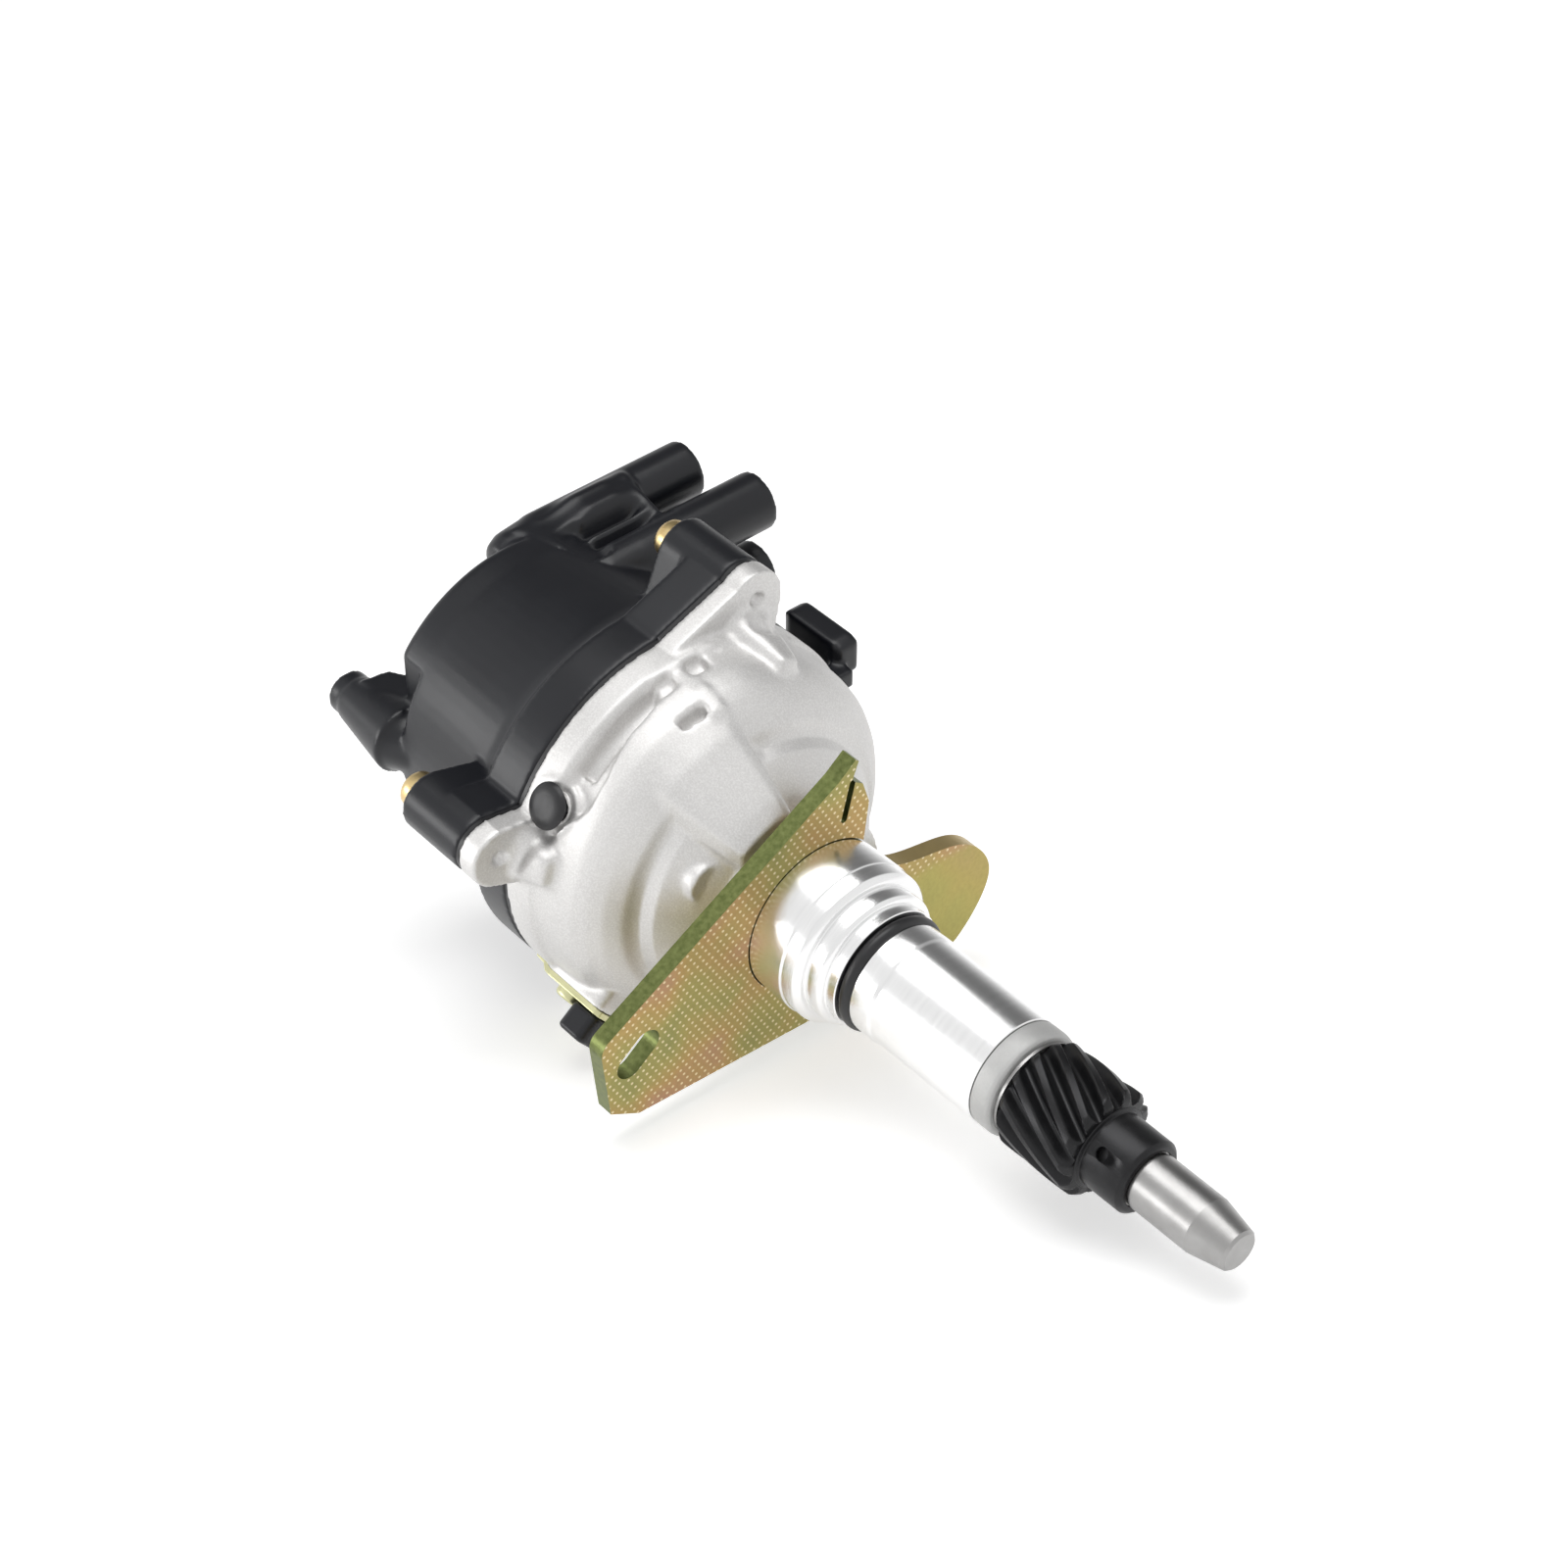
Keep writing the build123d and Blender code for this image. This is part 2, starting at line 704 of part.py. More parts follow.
    # sockets in the towers
    for tx in (tower_x_far, tower_x_near):
        for tz in (tower_z_low, tower_z_high):
            reach = tower_end_near if tx == tower_x_near else tower_end_far
            with BuildSketch(Plane.XZ.offset(-reach)):
                with Locations((tx, tz)):
                    Circle(socket_r)
            extrude(amount=socket_len, mode=Mode.SUBTRACT)
    with BuildSketch(Plane.YZ.offset(coil_mouth_x)):
        with Locations((coil_y, coil_z)):
            Circle(coil_socket_r)
    extrude(amount=coil_socket_len, mode=Mode.SUBTRACT)
    # brush guide
    with BuildSketch(Plane.YZ.offset(brush_boss_x)):
        Circle(brush_r + 0.1)
    extrude(amount=-(brush_boss_x - button_x), mode=Mode.SUBTRACT)
    # screw holes
    with BuildSketch(Plane.YZ.offset(cap_x)):
        for angle in ear_angles:
            with PolarLocations(ear_pitch_r, 1, start_angle=angle):
                Circle(screw_r + 0.3)
    extrude(amount=-boss_len, mode=Mode.SUBTRACT)
    # the conductors are moulded in
    for terminal in cap_terminals:
        add(terminal.part, mode=Mode.SUBTRACT)
    add(coil_terminal.part, mode=Mode.SUBTRACT)
distributor_cap.part.label = "distributor_cap"
export_step(distributor_cap.part, "parts/distributor_cap.step")
print("cap", distributor_cap.part.volume, len(distributor_cap.part.solids()))

# Cap screws: pan heads on the bosses, shanks down into the housing ears
with BuildPart() as cap_screws:
    with BuildSketch(Plane.YZ.offset(boss_x)):
        for angle in ear_angles:
            with PolarLocations(ear_pitch_r, 1, start_angle=angle):
                Circle(screw_head_r)
    extrude(amount=-screw_head_t)
    fillet(cap_screws.faces().filter_by(Axis.X).group_by(Axis.X)[0].edges(), 1.0)
    with BuildSketch(Plane.YZ.offset(boss_x)):
        for angle in ear_angles:
            with PolarLocations(ear_pitch_r, 1, start_angle=angle):
                Circle(screw_r)
    extrude(amount=rim_x + rim_t - 0.6 - boss_x)
    # cross recess
    with BuildSketch(Plane.YZ.offset(boss_x - screw_head_t)):
        for angle in ear_angles:
            with PolarLocations(ear_pitch_r, 1, start_angle=angle):
                Rectangle(4.6, 1.0)
                Rectangle(1.0, 4.6)
    extrude(amount=1.4, mode=Mode.SUBTRACT)
cap_screws.part.label = "cap_screws"
export_step(cap_screws.part, "parts/cap_screws.step")

# Carbon brush and its spring
brush_x = strip_top_x - 0.05
with BuildPart() as carbon_brush:
    with BuildSketch(Plane.YZ.offset(brush_x)):
        Circle(brush_r)
    extrude(amount=-brush_len)
    fillet(carbon_brush.faces().sort_by(Axis.X)[-1].edges(), 0.6)
carbon_brush.part.label = "carbon_brush"
export_step(carbon_brush.part, "parts/carbon_brush.step")

with BuildPart() as brush_spring:
    with BuildSketch(Plane.YZ.offset(brush_x - brush_len - 0.05)):
        Circle(brush_r - 0.2)
        Circle(brush_r - 0.9, mode=Mode.SUBTRACT)
    extrude(amount=-(brush_x - brush_len - 0.05 - (button_x + 0.05)))
brush_spring.part.label = "brush_spring"
export_step(brush_spring.part, "parts/brush_spring.step")

# =====================================================================
# Bushes, oil seal, thrust washer
# =====================================================================
for name, x0, x1, flange in (
    ("bush_upper", well_x + 4.6, 7.8, 0.0),
    ("bush_lower", 45.2, barrel_end_x, 0.0),
):
    with BuildPart() as bush:
        with BuildSketch(Plane.YZ.offset(x0)):
            Circle(9.0 - 0.01)
            Circle(shaft_r + run_gap, mode=Mode.SUBTRACT)
        extrude(amount=x1 - x0)
        chamfer(bush.faces().filter_by(Axis.X).edges(), 0.4)
    bush.part.label = name
    export_step(bush.part, "parts/" + name + ".step")

with BuildPart() as oil_seal:
    with BuildSketch(Plane.XY):
        with BuildLine():
            Polyline(
                (well_x + 0.1, 11.0 - fit_gap),
                (well_x + 4.4, 11.0 - fit_gap),
                (well_x + 4.4, 9.6),
                (well_x + 1.4, 9.6),
                (well_x + 1.4, 8.2),
                (well_x + 3.4, shaft_r + 0.9),
                (well_x + 2.6, shaft_r + run_gap),
                (well_x + 1.8, shaft_r + 0.6),
                (well_x + 0.1, 8.2),
                close=True,
            )
        make_face()
    revolve(axis=Axis.X)
oil_seal.part.label = "oil_seal"
export_step(oil_seal.part, "parts/oil_seal.step")

with BuildPart() as thrust_washer:
    with BuildSketch(Plane.YZ.offset(washer_x + 0.05)):
        Circle(band_r - 1.4)
        Circle(shaft_r + run_gap, mode=Mode.SUBTRACT)
    extrude(amount=gear_gap - 0.1)
thrust_washer.part.label = "thrust_washer"
export_step(thrust_washer.part, "parts/thrust_washer.step")

# =====================================================================
# Drive shaft and helical gear
# =====================================================================
cross_pin_x = gear_x1 + 3.4
with BuildPart() as drive_shaft:
    with BuildSketch(Plane.XY):
        with BuildLine():
            Polyline(
                (tip_x, 0),
                (tip_x, tip_taper_r - 0.6),
                (tip_x - 0.6, tip_taper_r),
                (tip_x - tip_taper_len, shaft_r),
                (hub_x1 + 0.7, shaft_r),
                (hub_x1 + 0.7, shaft_r - relief_t),
                (hub_x1 - 0.5, shaft_r - relief_t),
                (hub_x1 - 0.5, shaft_r),
                (shoulder_x, shaft_r),
                (shoulder_x, journal_r),
                (journal_end_x, journal_r),
                (journal_end_x, 1.55),
                (journal_end_x + 9.0, 1.55),
                (journal_end_x + 9.0, 0),
                close=True,
            )
        make_face()
    revolve(axis=Axis.X)
    with BuildSketch(Plane.XY.offset(-shaft_r - 1)):
        with Locations((cross_pin_x, 0)):
            Circle(gear_pin_r + 0.02)
    extrude(amount=2 * shaft_r + 2, mode=Mode.SUBTRACT)
drive_shaft.part.label = "drive_shaft"
export_step(drive_shaft.part, "parts/drive_shaft.step")

tooth_pitch = 360.0 / gear_teeth
tooth_corners = (
    (gear_root_r, -0.36),
    (gear_r - 0.3, -0.17),
    (gear_r, -0.10),
    (gear_r, 0.10),
    (gear_r - 0.3, 0.17),
    (gear_root_r, 0.36),
)
gear_sections = 8
with BuildPart() as drive_gear:
    for section in range(gear_sections):
        share = section / (gear_sections - 1)
        with BuildSketch(Plane.YZ.offset(gear_x0 + share * gear_len)):
            with BuildLine():
                Polyline(
                    *[
                        polar(radius, (tooth + 0.5 + offset) * tooth_pitch + share * gear_twist)
                        for tooth in range(gear_teeth)
                        for radius, offset in tooth_corners
                    ],
                    close=True,
                )
            make_face()
    loft(ruled=True)
    # hub on the tip side, with its chamfered end
    with BuildSketch(Plane.YZ.offset(gear_x1)):
        Circle(gear_hub_r)
    extrude(amount=gear_hub_len)
    chamfer(drive_gear.faces().sort_by(Axis.X)[-1].edges(), 0.9)
    # cone that eases both ends of the teeth
    with BuildSketch(Plane.XY):
        with BuildLine():
            Polyline(
                (gear_x0 - 1, gear_r + 1), (gear_x0 - 1, gear_r - 1.6), (gear_x0 + 1.6, gear_r + 1),
                close=True,
            )
        make_face()
    revolve(axis=Axis.X, mode=Mode.SUBTRACT)
    with BuildSketch(Plane.XY):
        with BuildLine():
            Polyline(
                (gear_x1 + 1, gear_r + 1), (gear_x1 + 1, gear_r - 2.4), (gear_x1 - 2.4, gear_r + 1),
                close=True,
            )
        make_face()
    revolve(axis=Axis.X, mode=Mode.SUBTRACT)
    # bore and cross hole
    with BuildSketch(Plane.YZ.offset(gear_x0 - 1)):
        Circle(shaft_r + 0.01)
    extrude(amount=gear_len + gear_hub_len + 2, mode=Mode.SUBTRACT)
    with BuildSketch(Plane.XY.offset(-gear_hub_r - 1)):
        with Locations((cross_pin_x, 0)):
            Circle(gear_pin_r + 0.02)
    extrude(amount=2 * gear_hub_r + 2, mode=Mode.SUBTRACT)
drive_gear.part.label = "drive_gear"
export_step(drive_gear.part, "parts/drive_gear.step")
print("gear", drive_gear.part.volume, len(drive_gear.part.solids()), len(drive_gear.part.faces()))

with BuildPart() as gear_pin:
    with BuildSketch(Plane.XY.offset(-gear_hub_r + 0.8)):
        with Locations((cross_pin_x, 0)):
            Circle(gear_pin_r)
    extrude(amount=2 * gear_hub_r - 1.6)
gear_pin.part.label = "gear_pin"
export_step(gear_pin.part, "parts/gear_pin.step")

# =====================================================================
# Centrifugal advance: driven plate, two weights, two springs
# =====================================================================
governor_x1 = governor_x - governor_t
with BuildPart() as governor_plate:
    with BuildSketch(Plane.YZ.offset(governor_x)):
        Circle(governor_r)
        with PolarLocations(governor_r + 4.0, 2, start_angle=0):
            Circle(9.0, mode=Mode.SUBTRACT)
        Circle(shaft_r + 0.01, mode=Mode.SUBTRACT)
    extrude(amount=-governor_t)
    # pivots of the weights and fixed ends of the springs
    with BuildSketch(Plane.YZ.offset(governor_x1)):
        with PolarLocations(pivot_pitch_r, 2, start_angle=90):
            Circle(pivot_r)
    extrude(amount=-(weight_t + 0.9))
    with BuildSketch(Plane.YZ.offset(governor_x1)):
        with PolarLocations(19.2, 2, start_angle=yoke_angle + 41):
            Circle(spring_post_r)
    extrude(amount=-(governor_x1 - ledge_x - 0.6))
governor_plate.part.label = "governor_plate"
export_step(governor_plate.part, "parts/governor_plate.step")

for name, turn in (("weight_a", 0.0), ("weight_b", 180.0)):
    with BuildPart() as weight:
        with BuildSketch(Plane.YZ.offset(weight_x0)):
            with BuildLine():
                Line(polar(weight_in_r, 78 + turn), polar(weight_r, 72 + turn))
                ThreePointArc(
                    polar(weight_r, 72 + turn), polar(weight_r, 140 + turn), polar(weight_r, 212 + turn)
                )
                Line(polar(weight_r, 212 + turn), polar(weight_in_r, 216 + turn))
                ThreePointArc(
                    polar(weight_in_r, 216 + turn), polar(weight_in_r, 140 + turn), polar(weight_in_r, 78 + turn)
                )
            make_face()
            with PolarLocations(pivot_pitch_r, 1, start_angle=90 + turn):
                Circle(pivot_r + fit_gap, mode=Mode.SUBTRACT)
        extrude(amount=-weight_t)
        fillet(weight.edges().filter_by(Axis.X).sort_by(Axis.Z)[0 if turn == 0 else -1], 1.5)
        # pin that drives the yoke
        with BuildSketch(Plane.YZ.offset(weight_x1)):
            with PolarLocations(yoke_pin_pitch_r, 1, start_angle=yoke_angle + turn):
                Circle(yoke_pin_r)
        extrude(amount=-(yoke_t + 0.6))
    weight.part.label = name
    export_step(weight.part, "parts/" + name + ".step")

# clips on the pivots
with BuildPart() as weight_clips:
    with BuildSketch(Plane.YZ.offset(weight_x1 - 0.1)):
        with PolarLocations(pivot_pitch_r, 2, start_angle=90):
            Circle(pivot_r + 1.2)
            Circle(pivot_r + 0.02, mode=Mode.SUBTRACT)
            with Locations((pivot_r + 0.8, 0)):
                Rectangle(2.4, 1.8, mode=Mode.SUBTRACT)
    extrude(amount=-0.5)
weight_clips.part.label = "weight_clips"
export_step(weight_clips.part, "parts/weight_clips.step")

# Cam sleeve: yoke with two radial slots, sleeve over the journal
with BuildPart() as cam_sleeve:
    with BuildSketch(Plane.YZ.offset(sleeve_x0 - 0.1)):
        Circle(sleeve_r + 1.6)
        with PolarLocations(0, 2, start_angle=yoke_angle):
            with Locations((8.6, 0)):
                RectangleRounded(18.4, 7.2, 2.2)
        with PolarLocations(0, 2, start_angle=yoke_angle):
            with Locations((11.6, 0)):
                SlotOverall(6.4, 2 * yoke_pin_r + 0.5, mode=Mode.SUBTRACT)
    extrude(amount=-yoke_t)
    with BuildSketch(Plane.YZ.offset(sleeve_x0 - 0.1)):
        Circle(sleeve_r)
    extrude(amount=sleeve_end_x - (sleeve_x0 - 0.1))
    with BuildSketch(Plane.YZ.offset(sleeve_x0)):
        Circle(journal_r + run_gap + 0.01)
    extrude(amount=sleeve_end_x - sleeve_x0, mode=Mode.SUBTRACT)
    with BuildSketch(Plane.YZ.offset(journal_end_x + 0.1)):
        Circle(journal_r + 0.8)
    extrude(amount=sleeve_end_x - journal_end_x - 0.1, mode=Mode.SUBTRACT)
    # moving ends of the springs
    with BuildSketch(Plane.YZ.offset(sleeve_x0 - 0.1 - yoke_t)):
        with PolarLocations(16.0, 2, start_angle=yoke_angle):
            Circle(spring_post_r)
    extrude(amount=-1.9)
cam_sleeve.part.label = "cam_sleeve"
export_step(cam_sleeve.part, "parts/cam_sleeve.step")
print("sleeve", cam_sleeve.part.volume, len(cam_sleeve.part.solids()))

with BuildPart() as sleeve_screw:
    with BuildSketch(Plane.YZ.offset(journal_end_x)):
        Circle(journal_r + 0.5)
    extrude(amount=-0.8)
    with BuildSketch(Plane.YZ.offset(journal_end_x - 0.8)):
        Circle(2.8)
    extrude(amount=-1.8)
    with BuildSketch(Plane.YZ.offset(journal_end_x)):
        Circle(1.5)
    extrude(amount=8.0)
    with BuildSketch(Plane.YZ.offset(journal_end_x - 2.6)):
        Rectangle(5.8, 0.8)
    extrude(amount=0.9, mode=Mode.SUBTRACT)
sleeve_screw.part.label = "sleeve_screw"
export_step(sleeve_screw.part, "parts/sleeve_screw.step")

# advance springs: close-wound bodies with an eye at each end
spring_x = sleeve_x0 - 0.1 - yoke_t - 1.1
for name, turn in (("advance_spring_a", 0.0), ("advance_spring_b", 180.0)):
    start = Vector(spring_x, *polar(16.0, yoke_angle + turn))
    end = Vector(spring_x, *polar(19.2, yoke_angle + 41 + turn))
    along = (end - start).normalized()
    with BuildPart() as spring:
        for eye in (start, end):
            with BuildSketch(Plane(origin=eye + Vector(0.25, 0, 0), z_dir=(-1, 0, 0))):
                Circle(spring_post_r + 0.7)
                Circle(spring_post_r + 0.05, mode=Mode.SUBTRACT)
            extrude(amount=0.5)
        with BuildSketch(Plane(origin=start + along * (spring_post_r + 0.4), z_dir=along)):
            Circle(0.25)
        extrude(amount=(end - start).length - 2 * spring_post_r - 0.8)
        with BuildSketch(Plane(origin=start + along * (spring_post_r + 1.4), z_dir=along)):
            Circle(1.05)
        extrude(amount=(end - start).length - 2 * spring_post_r - 2.8)
    spring.part.label = name
    export_step(spring.part, "parts/" + name + ".step")

# =====================================================================
# Pickup: plate, screws, star wheel, coil with pole, module, connector
# =====================================================================
with BuildPart() as pickup_plate:
    with BuildSketch(Plane.YZ.offset(ledge_x)):
        Circle(bowl_bore_r - 0.2)
        Circle(sleeve_r + 3.2, mode=Mode.SUBTRACT)
        with PolarLocations(32.0, 2, start_angle=90):
            Circle(1.7, mode=Mode.SUBTRACT)
    extrude(amount=-plate2_t)
    # raised landings for the coil and the module
    with BuildSketch(Plane.YZ.offset(pickup_x1)):
        with PolarLocations(24.0, 1, start_angle=25.0):
            RectangleRounded(12.0, 20.0, 2.0)
        with PolarLocations(25.5, 1, start_angle=190.0):
            RectangleRounded(11.0, 32.0, 2.0)
    extrude(amount=-1.2)
pickup_plate.part.label = "pickup_plate"
export_step(pickup_plate.part, "parts/pickup_plate.step")

with BuildPart() as pickup_screws:
    with BuildSketch(Plane.YZ.offset(pickup_x1)):
        with PolarLocations(32.0, 2, start_angle=90):
            Circle(2.8)
    extrude(amount=-1.8)
    with BuildSketch(Plane.YZ.offset(pickup_x1)):
        with PolarLocations(32.0, 2, start_angle=90):
            Circle(1.5)
    extrude(amount=plate2_t)
    with BuildSketch(Plane.YZ.offset(pickup_x1 - 1.8)):
        with PolarLocations(32.0, 2, start_angle=90):
            Rectangle(0.8, 5.8)
    extrude(amount=0.9, mode=Mode.SUBTRACT)
pickup_screws.part.label = "pickup_screws"
export_step(pickup_screws.part, "parts/pickup_screws.step")

reluctor_x = pickup_x1 - 3.4
with BuildPart() as reluctor:
    with BuildSketch(Plane.YZ.offset(reluctor_x)):
        Circle(reluctor_hub_r)
        with PolarLocations(0, 4, start_angle=45):
            with Locations((reluctor_hub_r + 1.0, 0)):
                Trapezoid(7.0, reluctor_r - 7.0, 82, rotation=-90)
        Circle(sleeve_r + 0.01, mode=Mode.SUBTRACT)
    extrude(amount=-reluctor_len)
    with BuildSketch(Plane.YZ.offset(reluctor_x - 1)):
        Circle(reluctor_r + 10)
        Circle(reluctor_r, mode=Mode.SUBTRACT)
    extrude(amount=-reluctor_len, both=True, mode=Mode.SUBTRACT)
    with BuildSketch(Plane.YZ.offset(reluctor_x)):
        with PolarLocations(sleeve_r, 1, start_angle=0):
            Circle(0.82, mode=Mode.ADD)
    extrude(amount=-reluctor_len, mode=Mode.SUBTRACT)
reluctor.part.label = "reluctor"
export_step(reluctor.part, "parts/reluctor.step")
print("reluctor", reluctor.part.volume, len(reluctor.part.solids()), reluctor.part.bounding_box())

pole_angle = 20.0
coil_plane = Plane(origin=(pickup_x1 - 1.2, 0, 0), x_dir=(0, *polar(1, pole_angle)), z_dir=(-1, 0, 0))
with BuildPart() as pole_piece:
    with BuildSketch(coil_plane):
        with Locations((24.0, 0)):
            RectangleRounded(11.0, 20.0, 1.5)
        with Locations((22.0, 7.6), (22.0, -7.6)):
            Circle(1.25, mode=Mode.SUBTRACT)
    extrude(amount=1.6)
    with BuildSketch(coil_plane):
        with Locations(((reluctor_r + pole_gap + 28.0) / 2, 0)):
            Rectangle(28.0 - reluctor_r - pole_gap, 4.0)
    extrude(amount=9.0)
    with BuildSketch(coil_plane):
        with Locations(((reluctor_r + pole_gap + 19.0) / 2 - 1, 0)):
            Rectangle(19.0 - reluctor_r - pole_gap + 2, 5.0)
    extrude(amount=2.0, mode=Mode.SUBTRACT)
    with BuildSketch(coil_plane):
        Circle(reluctor_r + pole_gap)
    extrude(amount=10.0, mode=Mode.SUBTRACT)
pole_piece.part.label = "pole_piece"
export_step(pole_piece.part, "parts/pole_piece.step")

with BuildPart() as pickup_coil:
    with BuildSketch(coil_plane.offset(1.65)):
        with Locations((22.8, 0)):
            RectangleRounded(6.4, 10.8, 2.0)
    extrude(amount=9.6)
    with BuildSketch(coil_plane.offset(1.0)):
        with Locations((22.0, 0)):
            Rectangle(20.0, 4.1)
    extrude(amount=8.05, mode=Mode.SUBTRACT)
pickup_coil.part.label = "pickup_coil"
export_step(pickup_coil.part, "parts/pickup_coil.step")

with BuildPart() as coil_screws:
    with BuildSketch(coil_plane.offset(1.6)):
        with Locations((22.0, 7.6), (22.0, -7.6)):
            Circle(2.0)
    extrude(amount=1.2)
    with BuildSketch(coil_plane.offset(1.6)):
        with Locations((22.0, 7.6), (22.0, -7.6)):
            Circle(1.2)
    extrude(amount=-1.6)
coil_screws.part.label = "coil_screws"
export_step(coil_screws.part, "parts/coil_screws.step")

module_plane = Plane(origin=(pickup_x1 - 1.2, 0, 0), x_dir=(0, *polar(1, 190.0)), z_dir=(-1, 0, 0))
with BuildPart() as ignition_module:
    with BuildSketch(module_plane):
        with Locations((25.5, 0)):
            RectangleRounded(11.6, 31.0, 2.5)
    extrude(amount=8.5)
    fillet(ignition_module.faces().sort_by(Axis.X)[0].edges(), 1.2)
    with BuildSketch(module_plane.offset(8.5)):
        with Locations((25.5, 12.4), (25.5, -12.4)):
            Circle(1.6)
    extrude(amount=-8.5, mode=Mode.SUBTRACT)
ignition_module.part.label = "ignition_module"
export_step(ignition_module.part, "parts/ignition_module.step")

with BuildPart() as module_screws:
    with BuildSketch(module_plane.offset(8.5)):
        with Locations((25.5, 12.4), (25.5, -12.4)):
            Circle(2.6)
    extrude(amount=1.6)
    with BuildSketch(module_plane.offset(8.5)):
        with Locations((25.5, 12.4), (25.5, -12.4)):
            Circle(1.5)
    extrude(amount=-8.5)
module_screws.part.label = "module_screws"
export_step(module_screws.part, "parts/module_screws.step")

# =====================================================================
# Dust shield, rotor
# =====================================================================
with BuildPart() as dust_shield:
    with BuildSketch(Plane.YZ.offset(shield_x - 0.02)):
        Circle(shield_r)
        Circle(sleeve_r + 4.6, mode=Mode.SUBTRACT)
    extrude(amount=-shield_t)
dust_shield.part.label = "dust_shield"
export_step(dust_shield.part, "parts/dust_shield.step")

rotor_angle = 45.0
rotor_plane = Plane(origin=(strip_x, 0, 0), x_dir=(0, *polar(1, rotor_angle)), z_dir=(1, 0, 0))
rotor_tip_r = post_in_r - spark_gap
with BuildPart() as rotor:
    with BuildSketch(rotor_plane):
        Circle(15.0)
        with Locations((10.0, 0)):
            RectangleRounded(26.0, 13.0, 3.0)
        with Locations((-6.0, 0)):
            RectangleRounded(22.0, 24.0, 8.0)
    extrude(amount=3.4)
    with BuildSketch(Plane.YZ.offset(strip_x + 3.4)):
        Circle(sleeve_r + 3.4)
    extrude(amount=(rim_x - 0.8) - (strip_x + 3.4))
    with BuildSketch(Plane.YZ.offset(rim_x - 0.8)):
        Circle(sleeve_r + 0.02)
    extrude(amount=-(rim_x - 0.8 - (sleeve_end_x - 0.3)), mode=Mode.SUBTRACT)
    with BuildSketch(rotor_plane):
        with Locations((-1.0, 0), (11.0, 0)):
            Circle(1.25)
    extrude(amount=2.6, mode=Mode.SUBTRACT)
rotor.part.label = "rotor"
export_step(rotor.part, "parts/rotor.step")

with BuildPart() as rotor_contact:
    with BuildSketch(rotor_plane):
        with Locations(((rotor_tip_r - 4.0) / 2, 0)):
            Rectangle(rotor_tip_r + 4.0, strip_w)
        with Locations((-1.0, 0), (11.0, 0)):
            Circle(1.25, mode=Mode.SUBTRACT)
    extrude(amount=-strip_t)
    with BuildSketch(Plane.YZ.offset(strip_x + 1)):
        Circle(rotor_tip_r + 8)
        Circle(rotor_tip_r, mode=Mode.SUBTRACT)
    extrude(amount=-4, mode=Mode.SUBTRACT)
rotor_contact.part.label = "rotor_contact"
export_step(rotor_contact.part, "parts/rotor_contact.step")

with BuildPart() as contact_rivets:
    with BuildSketch(rotor_plane):
        with Locations((-1.0, 0), (11.0, 0)):
            Circle(1.2)
    extrude(amount=2.5)
    with BuildSketch(rotor_plane.offset(-strip_t)):
        with Locations((-1.0, 0), (11.0, 0)):
            Circle(1.2)
    extrude(amount=strip_t)
contact_rivets.part.label = "contact_rivets"
export_step(contact_rivets.part, "parts/contact_rivets.step")

# =====================================================================
# Outside pieces: vent plug, lead bracket, connector
# =====================================================================
with BuildPart() as vent_plug:
    with BuildSketch(vent_plane):
        Circle(vent_plug_r)
    extrude(amount=1.6)
    fillet(vent_plug.faces().filter_by(GeomType.PLANE).edges(), 0.5)
    with BuildSketch(vent_plane.offset(0.8)):
        Circle(vent_hole_r)
    extrude(amount=-4.8)
vent_plug.part.label = "vent_plug"
export_step(vent_plug.part, "parts/vent_plug.step")

with BuildPart() as lead_bracket:
    with BuildSketch(pad_plane):
        RectangleRounded(22.5, 11.0, 1.5)
        with Locations((-1.0, 0)):
            Circle(1.65, mode=Mode.SUBTRACT)
    extrude(amount=1.6)
    with BuildSketch(pad_plane):
        with Locations((-10.4, 0)):
            Rectangle(1.6, 11.0)
    extrude(amount=4.2)
lead_bracket.part.label = "lead_bracket"
export_step(lead_bracket.part, "parts/lead_bracket.step")

with BuildPart() as bracket_screw:
    with BuildSketch(pad_plane.offset(1.6)):
        with Locations((-1.0, 0)):
            Circle(3.4)
    extrude(amount=1.9)
    fillet(bracket_screw.faces().sort_by(Axis.Z)[0].edges(), 0.9)
    with BuildSketch(pad_plane.offset(1.6)):
        with Locations((-1.0, 0)):
            Circle(1.6)
    extrude(amount=-6.0)
bracket_screw.part.label = "bracket_screw"
export_step(bracket_screw.part, "parts/bracket_screw.step")

with BuildPart() as lead_clip:
    with BuildSketch(pad_plane.offset(1.6)):
        with Locations((7.0, 0)):
            RectangleRounded(8.0, 9.4, 2.0)
    extrude(amount=6.5)
    fillet(lead_clip.faces().sort_by(Axis.Z)[0].edges(), 1.0)
    with BuildSketch(pad_plane.offset(8.1)):
        with Locations((7.0, 0)):
            Rectangle(3.2, 5.4)
    extrude(amount=-4.5, mode=Mode.SUBTRACT)
lead_clip.part.label = "lead_clip"
export_step(lead_clip.part, "parts/lead_clip.step")

